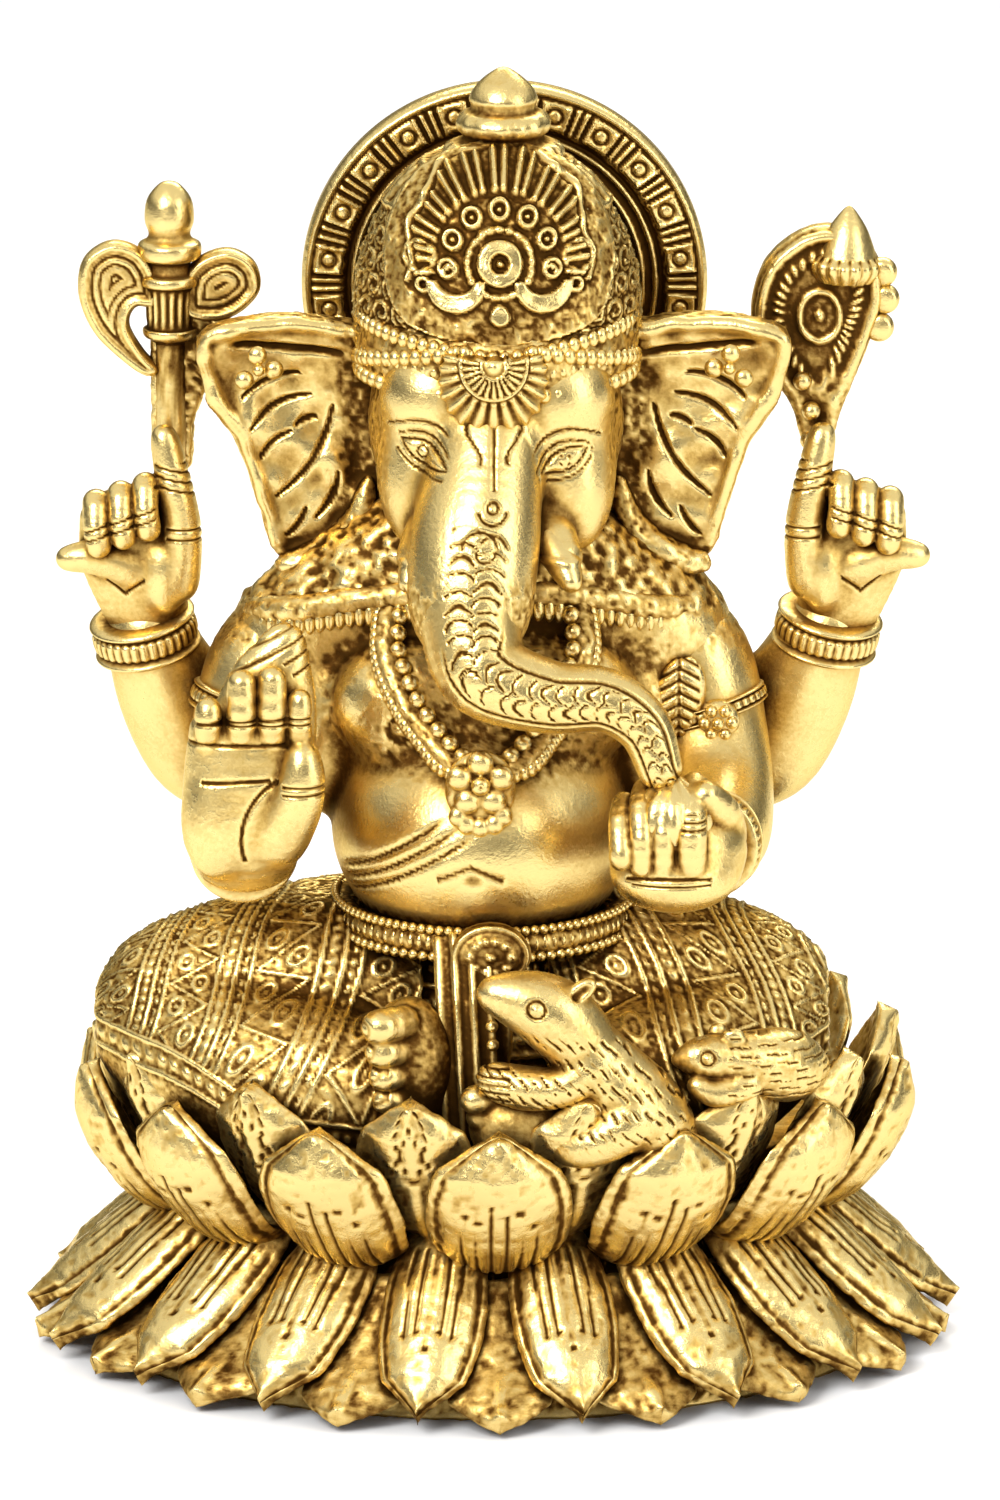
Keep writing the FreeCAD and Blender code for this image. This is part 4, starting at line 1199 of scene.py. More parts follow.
def make_axe():
    """A double axe: a pointed shaft with rings, a hooked blade outside and a small one inside."""
    low, _ = box_mm("axe")

    def grip(angle, lift, _radius):
        return 0.28 * np.cos(16 * angle) * step_up(23, 23.6, lift) * (1 - step_up(28, 28.6, lift))

    shaft = turned(AXE_SHAFT, (-49.4, 6, low[2]), columns=72, smooth=4, ribs=grip)
    shaft.stipple(0.06, 0.8, 30, 1 - step_up(156, 158, shaft.points[:, 2]))
    web = Clay((-56, 2, 134), (-34, 10, 164), 0.42)
    web.add(leaf(AXE_WEB, 5.0, 8.6, 1.0))
    webbing = web.skin().stipple(0.3, 1.1, 32, 1.0)
    publish("axe", joined([shaft, axe_blade(AXE_BLADE), axe_blade(AXE_BACK), webbing]))


NOOSE = [
    (48.2, 139.6), (45.6, 146), (41.4, 153), (39.6, 160), (41.4, 167.5), (46.4, 172.4), (52.4, 173.6),
    (58.2, 170), (60, 163), (57.6, 155), (54.4, 147), (51.6, 140.4),
]
NOOSE_CAP = [
    (4.2, -1.5), (5.4, 0), (5.6, 1.4), (4.7, 2.4), (4.1, 4.0), (2.9, 6.8), (1.1, 9.4), (0.2, 10.2),
]
NOOSE_CURL = [(0.3, -1.6), (1.9, -1.2), (2.3, 0), (1.9, 1.2), (0.3, 1.6)]


def make_noose():
    """A loop of rope as a pear-shaped shell: smooth lip, ribbed roll, inner loops and a beaded cap."""
    curve = smooth_path(NOOSE, 8, closed=True)
    clay = Clay((36, -2, 137), (63, 12, 176), 0.33)
    clay.add(leaf(NOOSE, 3, 9, 1.6))
    skin = clay.skin()
    x, y, z = skin.points.T
    front = step_up(5.5, 4.2, y)
    inset = -outline_distance(curve, x, z)
    travel = np.arctan2(z - 160, x - 50) * 9
    ribs = ridge(inset - 4.1, 1.3) * (0.3 + 0.7 * ridge(every(travel, 1.7), 0.75))
    lip = ridge(inset - 1.3, 1.5)
    eye_far = np.hypot(x - 50, (z - 160) * 0.8)
    loops = ridge(eye_far - 3.1, 0.8) + ridge(eye_far, 1.1)
    lower = step_up(153, 147, z)
    lumps = grain(skin.points, 2.2, 40)
    height = (0.9 * lip + 0.9 * ribs + 0.8 * loops - 0.5) * (1 - lower) + 0.5 * lumps * lower
    skin.chase(height * front, -0.14 * (1 - np.clip(lip + ribs + loops, 0, 1)) * front)
    skin.stipple(0.14, 0.9, 41, 0.7)

    def beading(angle, lift, _radius):
        return 0.25 * np.cos(18 * angle) * (1 - step_up(2.2, 2.8, lift))

    cap = turned(NOOSE_CAP, (54, 5.2, 166.6), (0.05, 0, 1), 72, 5, beading)
    curls = []
    for k, (cx, cz) in enumerate(((60.4, 158), (61.2, 162.4), (60.8, 166.6))):
        curls.append(turned(NOOSE_CURL, (cx - 1.2, 4.6, cz), (0.2, 1, 0.1 * k), 24, 4))
    neck = strung([(48.6, 3, 140.5), (48.8, 2.4, 145), (47.4, 2.4, 150)], 1.5, 2.6)
    publish("noose", joined([skin, cap, *curls, *neck]))


# ---------------------------------------------------------------- head
TRUNK = [
    (0.2, -15, 156, 4.6, 4.2), (-0.4, -19.4, 150, 5.4, 5.0), (
        -1.2, -23.2, 143.5, 6.6, 6.0,
    ), (-2.8, -27.6, 135, 8.3, 7.0),
    (
        -3.9, -30.8, 127.5, 8.5, 7.1,
    ), (-4, -33.4, 120.5, 7.7, 6.8), (-1.7, -36.5, 114, 6.9, 6.2), (7.5, -38, 110.8, 5.6, 5.3),
    (16, -38.6, 110.4, 4.9, 4.7), (21.8, -39.6, 106.6, 4.2, 4.1), (24.3, -41, 100.4, 3.4, 3.3),
]
TRUNK_SIDE = (1, 0, 0.35)


def almond(x, z, centre, half_wide, half_high, slant):
    """Zero on an eye's outline, negative inside, in millimetres."""
    turn = math.radians(slant)
    dx, dz = x - centre[0], z - centre[1]
    u = dx * math.cos(turn) + dz * math.sin(turn)
    v = dz * math.cos(turn) - dx * math.sin(turn)
    return np.abs(v) - half_high * (1 - (u / half_wide) ** 2), u, v


def face_lines(x, z):
    """Engraved eyes, lids and brows. Negative is cut."""
    height = np.zeros_like(x)
    for centre, slant in (((-10.9, 145.0), -27), ((10.4, 143.6), 25)):
        edge, u, v = almond(x, z, centre, 3.7, 1.55, slant)
        near = np.abs(u) < 4.5
        lid = ridge(edge, 0.42) + 0.8 * ridge(edge - 1.25, 0.4) * (v > -0.5)
        iris = ridge(np.hypot(u, v) - 0.85, 0.3)
        brow = ridge(v - 4.6 + 0.09 * u**2, 0.5) * (np.abs(u) < 6.5)
        under = ridge(v + 2.7 - 0.08 * u**2, 0.4) * (np.abs(u) < 3.8)
        cut = np.clip((lid + iris) * near + 0.8 * brow + 0.6 * under, 0, 1)
        height = height + 0.5 * step_up(0.6, -1.2, edge) - 0.42 * cut
    return height


def make_head():
    """Skull, brows and cheeks, with the root of the trunk and the lips that hold the tusks."""
    clay = Clay((-24, -36, 118), (26, 16, 169), 0.42)
    clay.add(oval((0.3, -5, 146), (19.4, 18.6, 21)))
    clay.add([oval((-8, -15.5, 152), (9.4, 8, 9)), oval((8.6, -15.5, 152), (9.4, 8, 9))], 3)
    cheeks = [oval((-10.8, -14.8, 138.5), (6.8, 7.4, 10.5)), oval((11.4, -14.8, 138), (6.6, 7.4, 10.5))]
    clay.add(cheeks, 4)
    root = [(x, y + 1.4, z, u - 1.3, v - 1.5) for x, y, z, u, v in TRUNK[:6]]
    clay.add(tube(root, TRUNK_SIDE), 5)
    for side in (-1, 1):
        lip = sided(side, [(8.5, -20.5, 133, 3.4), (11.0, -25.5, 129.4, 3.1)], -1)
        clay.add(tube(lip, steps=2), 1.5)
    skin = clay.skin()
    x, y, z = skin.points.T
    front = step_up(-12, -16, y)
    lines = face_lines(x, z) * front
    beside = step_up(6.0, 7.2, np.abs(x + 0.8))
    marks = trunk_lines(skin) * (1 - beside)
    skin.chase(lines * beside - 0.34 * marks, 0.5 * np.minimum(lines, 0) * beside - 0.4 * marks)
    edge = step_up(15.5, 18.5, np.abs(x - 0.3)) + step_up(-12, -4, y) + step_up(130, 125, z)
    skin.stipple(0.18, 1.0, 43, np.clip(0.03 + np.clip(edge, 0, 1), 0, 1))
    publish("head", skin)


def make_tusks():
    """Short, blunt tusks with one raised ring each."""
    for side, word in WORDS.items():
        tusk = [(9, -24, 131.5, 2.7), (11.2, -27.4, 128.4, 2.5), (12.2, -29.4, 126.4, 1.7)]
        clay = Clay((-17, -34, 121), (17, -19, 136), 0.36)
        clay.add(tube(sided(side, tusk, -1)))
        skin = clay.skin()
        publish_polished(f"{word}_tusk", skin.chase(0.25 * ridge(skin.points[:, 2] - 129.4, 0.9)))


def trunk_place(points):
    """For each point: distance along the trunk, offset across its front, and the local half width."""
    line = smooth_path(TRUNK, 12)
    travel = travel_along(line)
    best = np.full(len(points), 1e9)
    nearest = np.zeros(len(points), int)
    for k, row in enumerate(line[:, :3]):
        far = np.sum((points - row) ** 2, axis=1)
        closer = far < best
        best[closer] = far[closer]
        nearest[closer] = k
    ahead = headings(line[:, :3])
    across = np.cross(ahead, FRONT)
    across /= np.linalg.norm(across, axis=1, keepdims=True)
    rest = points - line[nearest, :3]
    along = travel[nearest] + np.sum(rest * ahead[nearest], axis=1)
    return along, np.sum(rest * across[nearest], axis=1), line[nearest, 3]


def trunk_lines(skin):
    """Engraved lines, from 0 to 1: two columns of scales, the trunk's edges, and the forehead mark."""
    x, y, z = skin.points.T
    s, a, half = trunk_place(skin.points)
    front = step_up(0.0, 0.25, -(skin.normals()[:, 1]))
    on = step_up(26, 28, s) * (1 - step_up(86, 90, s))
    scale = 0.0
    for column, drift in ((-0.30, 0.0), (0.22, 1.1)):
        width = 0.27 * half
        local = (a - column * half) / width
        bow = s - 1.2 * local**2 + drift + 0.25 * np.sin(1.9 * s)
        scale = np.maximum(scale, ridge(every(bow, 2.3), 0.42) * (np.abs(local) < 1.0))
    border = ridge(a + 0.66 * half, 0.45) + ridge(a - 0.60 * half, 0.4) * step_up(40, 46, s)
    cut = (scale * on + 0.9 * border * step_up(42, 48, s)) * front
    mouth = np.clip(z - 144.5, 0, 9)
    mark_far = np.abs(x + 0.4) - 2.1 - 0.35 * mouth + 0.5 * np.sin(1.1 * mouth)
    mark_u = ridge(mark_far, 0.42) * (z > 144.5) * (z < 153)
    mark_line = ridge(x + 0.4, 0.45) * (z > 141.0) * (z < 150.5)
    dot = ridge(np.hypot(x + 0.6, z - 138.8) - 0.8, 0.45)
    moon = ridge(np.hypot(x + 0.6, z - 138.6) - 2.2, 0.4) * (z < 138.2)
    curl_turn = np.arctan2(z - 132.8, x + 2.2)
    curl_far = np.hypot(x + 2.2, z - 132.8)
    curl = ridge(curl_far - 1.0 - 0.36 * (curl_turn + np.pi), 0.4) * (curl_far < 3.5)
    marks = np.clip(mark_u + mark_line + dot + moon + curl, 0, 1) * front * (y < -15)
    return np.clip(cut + marks, 0, 1)


def make_trunk():
    """The trunk, which carries the engraved lines that start on the forehead."""
    clay = Clay((-16, -46, 94), (31, -8, 160), 0.36)
    clay.add(tube(TRUNK, TRUNK_SIDE, 5))
    skin = clay.skin()
    lines = trunk_lines(skin)
    skin.chase(-0.36 * lines, -0.42 * lines).stipple(0.03, 0.8, 44, 0.2)
    publish("trunk", skin)


EAR = [
    (15, 158), (24, 160.8), (33, 161.6), (43, 160.2), (
        45.4, 156.2,
    ), (43.4, 149), (39.0, 140.5), (36.0, 131.5),
    (33.4, 124.0), (26, 119.8), (17, 122), (14, 142),
]
EAR_CREASES = [
    (
        (24.5, 147.5), (33.4, 133.0), -1.8,
    ), ((27.6, 149.0), (37.4, 143.6), 1.5), ((26.8, 145.4), (30.4, 144.0), 0.5),
    ((30.8, 143.4), (35.6, 139.0), 0.9), (
        (23.6, 137.0), (27.4, 129.6), -0.8,
    ), ((28.6, 131.6), (31.8, 126.8), -0.5),
    ((29.4, 152.4), (38.6, 148.6), 1.2),
]
EAR_ROLL = [(19.2, 136, 0.5), (20.2, 130.5, 1.6), (23, 126, 2.1), (27.5, 123.4, 2.0), (32.4, 122.6, 1.0)]


def stroke(x, z, start, end, bow, half):
    """An engraved stroke that swells in the middle and bends to one side."""
    (x0, z0), (x1, z1) = start, end
    length = math.hypot(x1 - x0, z1 - z0)
    along = ((x - x0) * (x1 - x0) + (z - z0) * (z1 - z0)) / length**2
    off = ((x - x0) * (z1 - z0) - (z - z0) * (x1 - x0)) / length
    middle = np.clip(4 * along * (1 - along), 0, 1)
    return ridge(off + bow * middle, half * (0.45 + 0.55 * middle)) * step_up(0, 0.08, middle)


def make_ears():
    """Broad ears with a rolled rim, engraved folds, and a flower where the rim turns down."""
    for side, word in WORDS.items():
        outline = [(side * x, z) for x, z in EAR]
        curve = smooth_path(outline, 6, closed=True)

        def cupped(x, z):
            swell = 0.8 * np.exp(-((z - 145) / 9) ** 2)
            return -2.4 * step_up(30, 47, side * x) - 2.2 * step_up(150, 162, z) + swell

        clay = Clay((min(side * 11, side * 49), -10, 117), (max(side * 11, side * 49), 7, 164), 0.38)
        clay.add(leaf(outline, -1.5, 4.0, 1.4, cupped))
        roll = smooth_path([(side * x, -2.6, z, size) for x, z, size in EAR_ROLL], 4)
        clay.add(tube([tuple(row) for row in roll], steps=1), 1.5)
        skin = clay.skin()
        x, _, z = skin.points.T
        out = side * x
        front = step_up(0.2, 0.6, -skin.normals()[:, 1])
        inset = -outline_distance(curve, x, z)
        rim = ridge(inset - 1.3, 1.6) * step_up(126, 132, z)
        folds = 0.0
        for start, end, bow in EAR_CREASES:
            folds = np.maximum(folds, stroke(out, z, start, end, bow, 0.75))
        lift = ridge(z - 141 - 0.5 * (out - 30), 5.0) * step_up(20, 26, out)
        flap = ridge(z - 156.4 - 0.12 * (out - 30), 1.0)
        flap = flap * step_up(22, 25, out) * (1 - step_up(38, 41, out))
        lumps = grain(skin.points, 3.2, 47)
        height = 0.6 * rim + 0.9 * lift - 1.1 * flap - 0.75 * folds + 0.45 * lumps
        tone = 0.06 * rim - 0.35 * flap - 0.42 * folds + 0.10 * lumps
        skin.chase(height * front, tone * front)
        shade = np.maximum(step_up(26, 21, out), step_up(128, 123, z)) + (1 - front)
        skin.stipple(0.22, 1.1, 46, np.clip(0.22 + shade, 0, 1))
        places = sided(side, [(33.5, -5.8, 154.0), (38.0, -6.8, 152.6), (36, -6.8, 156.4)])
        petals = [bead(place, (1.5, 1.1, 1.5)) for place in places]
        petals.append(bead((side * 35.8, -7, 154.2), (1.0, 1.0, 1.0)))
        publish(f"{word}_ear", joined([skin, *petals]))


HALO_CELLS = 22                        # framed cells round the halo, each followed by a ribbed one
HALO_MIDDLE = 27.2                     # radius that the cells are spaced on
HALO_EDGE = 0.6                        # rounding of the disc's edge


def make_halo():
    """A round disc: cells between two rims on the front, and a many-rayed flower on the back."""
    low, high = box_mm("halo")
    radius = (high[0] - low[0]) / 2 + 0.8
    centre = np.array([(high[0] + low[0]) / 2 + 1.0, (high[1] + low[1]) / 2, high[2] - radius + 0.4])
    half = (high[1] - low[1]) / 2

    def disc(x, y, z):
        flat = np.hypot(x - centre[0], z - centre[2]) - radius + HALO_EDGE
        deep = np.abs(y - centre[1]) - half + HALO_EDGE
        outside = np.sqrt(np.maximum(flat, 0) ** 2 + np.maximum(deep, 0) ** 2)
        return outside + np.minimum(np.maximum(flat, deep), 0) - HALO_EDGE

    clay = Clay(low - 2, high + 3, 0.32)
    clay.add(Form(low - 2, high + 3, disc))
    clay.keep_above(low[2])
    skin = clay.skin()
    x, y, z = skin.points.T
    far = np.hypot(x - centre[0], z - centre[2])
    angle = np.arctan2(x - centre[0], z - centre[2])
    pitch = 2 * np.pi / HALO_CELLS
    slot_place = every(angle, pitch) * HALO_MIDDLE
    across = far - 27.3
    square = step_up(2.35, 2.0, np.maximum(np.abs(slot_place), np.abs(across)))
    ring_far = np.hypot(slot_place, across)
    square = square - 0.55 * ridge(ring_far - 1.15, 0.5)
    other = every(angle + pitch / 2, pitch) * HALO_MIDDLE
    bars = step_up(2.3, 2.0, np.abs(other)) * step_up(2.4, 2.1, np.abs(across))
    bars = bars * ridge(every(other + 0.7, 1.4), 0.6)
    rim = ridge(far - radius + 0.9, 0.9)
    inner = ridge(far - 23.3, 0.75) + 0.9 * ridge(far - 21.3, 0.65)
    step = 0.9 * step_up(24.2, 24.9, far)
    front = step_up(0.3, 0.7, -skin.normals()[:, 1])
    height = step + 0.75 * np.maximum(square, 0) - 0.5 * np.maximum(-square, 0)
    height = height + 0.7 * bars + 0.6 * rim + 0.8 * inner
    tone = 0.22 * (np.maximum(square, 0) + bars + inner + rim) - 0.22
    skin.points[:, 1] -= height * front - 0.3 * front
    skin.tone += tone * front
    back = step_up(0.3, 0.7, skin.normals()[:, 1])
    petals = ridge(every(angle, np.pi / 12) * far / 4, 0.55)
    petals = petals * step_up(6, 9, far) * (1 - step_up(24, 26, far))
    rings = ridge(far - 5, 0.8) + ridge(far - 26.4, 0.8) + ridge(far - 28.6, 0.6)
    skin.points[:, 1] += (0.5 * petals + 0.6 * rings) * back
    raised = np.clip(square + bars + inner + rim, 0, 1)
    skin.stipple(0.13, 0.9, 50, np.clip(front * (1 - raised) + 0.5 * back, 0.05, 1))
    publish("halo", skin)


ROSETTE = (0.6, 173.8)


def crown_pattern(x, z):
    """The chased front of the crown: rosette, rings, lobed leaves, side flowers, crescents and a drop."""
    x, z = x - ROSETTE[0], z - ROSETTE[1]
    far, angle = np.hypot(x, z), np.arctan2(x, z)
    height = np.clip(ridge(far, 0.8) + step_up(1.2, 1.6, far) * (1 - step_up(3.2, 3.6, far)), 0, 1)
    beading = 0.8 * ridge(far - 4.9, 0.9) * (0.5 + 0.5 * ridge(every(angle, 0.3), 0.15))
    height = np.maximum(height, beading)
    for turn in (-96, -64, -32, 0, 32, 64, 96):
        turn = math.radians(turn)
        ring_far = np.hypot(x - 7.9 * math.sin(turn), z - 7.6 * math.cos(turn))
        height = np.maximum(height, np.maximum(ridge(ring_far - 1.25, 0.65), 0.9 * ridge(ring_far, 0.6)))
    pitch = math.radians(17)
    lobe = every(angle, pitch) * far
    reach = 14.6 + 1.4 * np.cos(2 * angle) + 0.5 * np.sin(9 * angle)
    leaves = step_up(9.6, 10.4, far) * (1 - step_up(reach - 0.6, reach, far)) * (np.abs(angle) < 1.75)
    outline = ridge(np.abs(lobe) - 0.06 * far, 0.75)
    height = np.maximum(height, leaves * (0.95 * outline + 0.25))
    crest = ridge(far - reach - 0.5, 0.8) * (0.55 + 0.45 * ridge(every(angle, pitch), 0.13))
    height = np.maximum(height, crest * (np.abs(angle) < 1.8))
    for side in (-1, 1):
        out = side * x
        flower = np.hypot(out - 12.0, z - 0.6)
        turn = np.arctan2(out - 12.0, z - 0.6)
        bloom = ridge(flower, 1.0) + ridge(flower - 2.1, 0.9) * (
            0.5 + 0.5 * ridge(every(turn, 0.9), 0.42)
        )
        height = np.maximum(height, np.clip(bloom, 0, 1))
        moon = np.hypot(out - 6.6, z + 2.9)
        crescent = step_up(4.7, 4.2, moon) * step_up(3.0, 3.5, np.hypot(out - 6.6, z + 1.3))
        height = np.maximum(height, crescent * (z < -2.6))
        height = np.maximum(height, ridge(np.hypot(out - 11.4, z + 3.4) - 0.9, 0.7))
        height = np.maximum(height, 0.8 * ridge(np.hypot(out - 7.6, z + 1.2) - 0.8, 0.6))
    drop = step_up(1.7, 1.2, np.hypot(x * (1 + 0.10 * (z + 7.6)), (z + 7.6) * 0.9))
    return np.maximum(height, drop)


def band_point(angle, height, radius):
    """A point round the head at the crown's band."""
    x = 0.4 + (radius - 0.8) * math.sin(angle)
    return np.array([x, -4 - (radius - 1.5) * math.cos(angle), height])


def make_crown_cap():
    """The dome, covered in rows of curls, with a band of upright leaves under the finial."""
    clay = Clay((-24, -25, 153), (25, 18, 191), 0.42)
    clay.add(oval((0.5, -3, 163), (22, 19.5, 26)))
    clay.keep_above(154.5)
    skin = clay.skin()
    x, y, z = skin.points.T
    angle = np.arctan2(x - 0.5, -(y + 3))
    lean = 24 * np.arcsin(np.clip((z - 163) / 26, -1, 1))
    row = np.floor(lean / 3.4)
    spin = every(angle * 19 * np.cos(lean / 24 * 0.9) + 1.9 * (row % 2), 3.8)
    curl_far = np.hypot(spin, every(lean - 1.7, 3.4))
    curl_turn = np.arctan2(every(lean - 1.7, 3.4), spin)
    curls = ridge(curl_far - 0.5 - 0.17 * (curl_turn + np.pi), 0.42) + 0.6 * ridge(curl_far - 1.62, 0.4)
    spin_break = 0.5 + 0.5 * np.sin(2.3 * x + 1.7 * z) * np.sin(1.9 * z - 1.3 * x)
    curls = np.clip(curls, 0, 1) * (0.35 + 0.65 * spin_break)
    high_band = step_up(179.5, 180.3, z) * (1 - step_up(184.6, 185.2, z))
    leaves = high_band * ridge(every(angle, np.pi / 13), np.pi / 15)
    leaves = leaves + ridge(z - 179.6, 0.7) + ridge(z - 185.4, 0.7)
    leafy = step_up(178.6, 179.2, z)
    height = (0.75 * np.clip(curls, 0, 1) - 0.3) * (1 - leafy) + 0.85 * np.clip(leaves, 0, 1) * leafy
    skin.chase(height, 0.22 * height - 0.07).stipple(0.17, 1.0, 52, 0.9)
    publish("crown_cap", skin)


def make_crown_crest():
    """The raised front of the crown, with the chased rosette and leaves."""
    half = [(7.6, 188.4), (13.6, 184), (17.2, 176.5), (17.0, 169), (13.0, 163.6)]
    outline = [(0.6, 190), *((x + 0.6, z) for x, z in half), (0.6, 161.4)]
    outline += [(0.6 - x, z) for x, z in reversed(half)]
    curve = smooth_path(outline, 6, closed=True)

    def shell(x, y, z):
        dome = oval((0.5, -3, 163), (23.4, 21.0, 27.4)).distance(x, y, z)
        return np.maximum(np.maximum(dome, outline_distance(curve, x, z)), y + 7)

    clay = Clay((-18, -27, 158), (19, -5, 191), 0.32)
    clay.add(Form((-18, -27, 158), (19, -5, 191), shell))
    skin = clay.skin()
    x, y, z = skin.points.T
    front = step_up(0.05, 0.3, -skin.normals()[:, 1]) * step_up(-8, -10, y)
    pattern = crown_pattern(x, z) * front
    lumps = 0.35 * grain(skin.points, 2.4, 57) * front
    skin.chase(1.15 * pattern + lumps - 0.3 * front, 0.28 * pattern - 0.07 * front)
    skin.stipple(0.16, 0.9, 53, np.clip(1 - 1.3 * pattern, 0.08, 1))
    publish("crown_crest", skin)


BAND_ROWS = [                          # height at the front, rise at the sides, bead radii, spacing
    (153.6, 0.6, (1.25, 1.25, 1.35), 2.2),
    (156.6, 1.6, (0.9, 0.9, 1.1), 1.6),
    (159.6, 3.0, (1.05, 1.05, 1.3), 1.8),
]


def make_crown_band():
    """Three rows of beads round the brow, and a string on each side that drops to the ears."""
    rows = []
    brow = np.radians(np.linspace(-116, 116, 25))
    for low_z, rise, beads, gap in BAND_ROWS:
        path = [band_point(theta, low_z + rise * abs(math.sin(theta)) ** 1.2, 21.6) for theta in brow]
        rows += strung(path, beads, gap)
    for side in (-1, 1):
        angles = np.radians(side * np.linspace(14, 108, 16))
        path = [band_point(theta, 160.4 - 5.6 * k / 15, 21.9) for k, theta in enumerate(angles)]
        rows += strung(path, (1.15, 1.15, 1.35), 1.9)
    clay = Clay((-26, -27, 147), (27, 20, 169), 0.5)
    loop = np.radians(np.linspace(-170, 170, 30))
    middle = [(*band_point(theta, 157.0 + 1.6 * abs(math.sin(theta)), 20.4), 4.9, 2.0) for theta in loop]
    clay.add(tube(middle, UP, 1))
    core = clay.skin()
    core.stipple(0.15, 0.9, 54, 1.0)
    core.tone -= 0.12
    publish("crown_band", joined([core, *rows]))


def make_jewel():
    """A half-round fan on the forehead, in two tiers of radial ribs."""
    clay = Clay((-12, -31, 144), (11, -18, 162), 0.3)
    clay.add(oval((-0.4, -24.4, 156.6), (8.0, 2.9, 8.4)))
    clay.add(oval((-0.4, -25.6, 157.2), (5.4, 2.8, 4.9)), 0.3)
    clay.keep_below(160.2)
    skin = clay.skin()
    x, z = skin.points[:, 0] + 0.4, skin.points[:, 2] - 159.4
    far = np.hypot(x, z * 0.95)
    angle = np.arctan2(x, -z)
    tiers = step_up(2.0, 2.5, far) * (1 - step_up(4.5, 4.9, far)) + step_up(5.3, 5.8, far)
    ribs = ridge(every(angle, 0.24), 0.115) * tiers
    rings = ridge(far - 5.0, 0.45) + ridge(far, 1.5) + ridge(far - 1.9, 0.3)
    height = np.maximum(0.55 * ribs, 0.5 * np.clip(rings, 0, 1))
    skin.chase(height - 0.1, 0.25 * height - 0.06)
    publish("forehead_jewel", skin)


FINIAL = [
    (7.2, -2), (8.6, -1), (8.9, 0.6), (8.0, 1.7), (7.4, 2.1), (8.7, 3.0), (9.0, 4.4), (8.4, 5.7),
    (6.6, 6.4), (6.2, 7.0), (7.0, 8.0), (7.2, 9.2), (6.4, 10.4), (5.2, 11.0), (5.0, 11.8), (5.2, 12.8),
    (4.4, 14.4), (2.8, 16.0), (1.2, 17.1), (0.2, 17.5),
]


def make_finial():
    """Bead ring, ribbed disc, bulb and cone at the top of the crown."""

    def ribs(angle, lift, _radius):
        lower = 0.32 * np.cos(26 * angle) * step_up(-1.6, -0.8, lift) * (1 - step_up(1.4, 1.8, lift))
        middle = 0.38 * np.cos(22 * angle) * step_up(2.4, 3.0, lift) * (1 - step_up(5.4, 6.0, lift))
        cone = 0.12 * np.cos(14 * angle) * step_up(7.4, 8, lift) * (1 - step_up(10, 10.6, lift))
        return lower + middle + cone

    skin = turned(FINIAL, (1.5, -2, 182.5), columns=156, smooth=4, ribs=ribs)
    publish("crown_finial", skin.stipple(0.06, 0.8, 56, 0.6))


# ---------------------------------------------------------------- mice, screw
MOUSE = [                              # body, head, foreleg and hind leg, each with its blend
    (
        [
            (26, -39.5, 40, 4.6), (22.8, -42, 46, 7.2, 6.4), (17.4, -43, 52, 7.0, 6.2),
            (12.4, -44, 58, 5.4, 5.2),
        ],
        0,
    ),
    ([(12, -44, 59, 5.0), (8.2, -44.6, 63, 5.2), (3.4, -45.2, 65.4, 3.9), (-1.0, -45.6, 66.6, 2.1)], 1.5),
    (
        [(14.6, -46.4, 56, 3.2), (10, -47.4, 52.4, 2.6), (4, -46.6, 52.0, 3.0), (-1, -45.4, 53.0, 2.5)],
        1.2,
    ),
    ([(20, -47, 47, 4.0), (14, -48, 43.4, 3.0), (9, -46.5, 42.6, 2.0)], 1.5),
]
SMALL_MOUSE_BODY = [
    (47.5, -29.5, 50, 3.4), (44, -32, 51, 5.6), (39.6, -34.8, 52.4, 5.0), (35, -37, 53.6, 3.8),
    (31, -38.2, 54.2, 3.2), (27.6, -38.6, 54, 1.3),
]


def make_mouse():
    """A large mouse that climbs on the left foot."""
    clay = clay_round("mouse", 4, 0.33)
    for stations, blend in MOUSE:
        clay.add(tube(stations, (0, 1, 0)), blend)
    ear = [
        oval((12.3, -46.4, 67.0), (2.9, 1.3, 1.6), -38), oval((6.0, -42.0, 67.6), (1.2, 0.9, 1.6), -30),
    ]
    clay.add(ear, 0.5)
    clay.cut(oval((12.6, -47.7, 67.3), (2.0, 0.8, 0.8), -38), 0.3)
    skin = clay.skin()
    x, y, z = skin.points.T
    eye_far = np.hypot(x - 5.6, z - 65.2)
    eye = (ridge(eye_far, 0.85) - 0.8 * ridge(eye_far - 1.35, 0.45)) * (y < -45)
    along = (24 - x) * 0.62 + (z - 44) * 0.78
    aside = (x - 17) * 0.78 + (z - 51) * 0.62
    row = np.floor(aside / 1.5)
    tick = ridge(every(aside, 1.5) - 0.2 * np.sin(along), 0.36)
    tick = tick * step_up(0.1, 0.5, np.sin(along * 1.35 + 2.1 * row))
    tick = tick * step_up(42, 46, z) * (1 - step_up(59, 62, z))
    toes = ridge(every(z - 50.4, 1.25), 0.35) * (x < 1.6) * (z < 56)
    lines = np.clip(tick + toes, 0, 1)
    skin.chase(0.5 * eye - 0.32 * lines, -0.35 * lines - 0.3 * np.maximum(-eye, 0))
    publish("mouse", skin.stipple(0.05, 0.8, 60, 0.35))


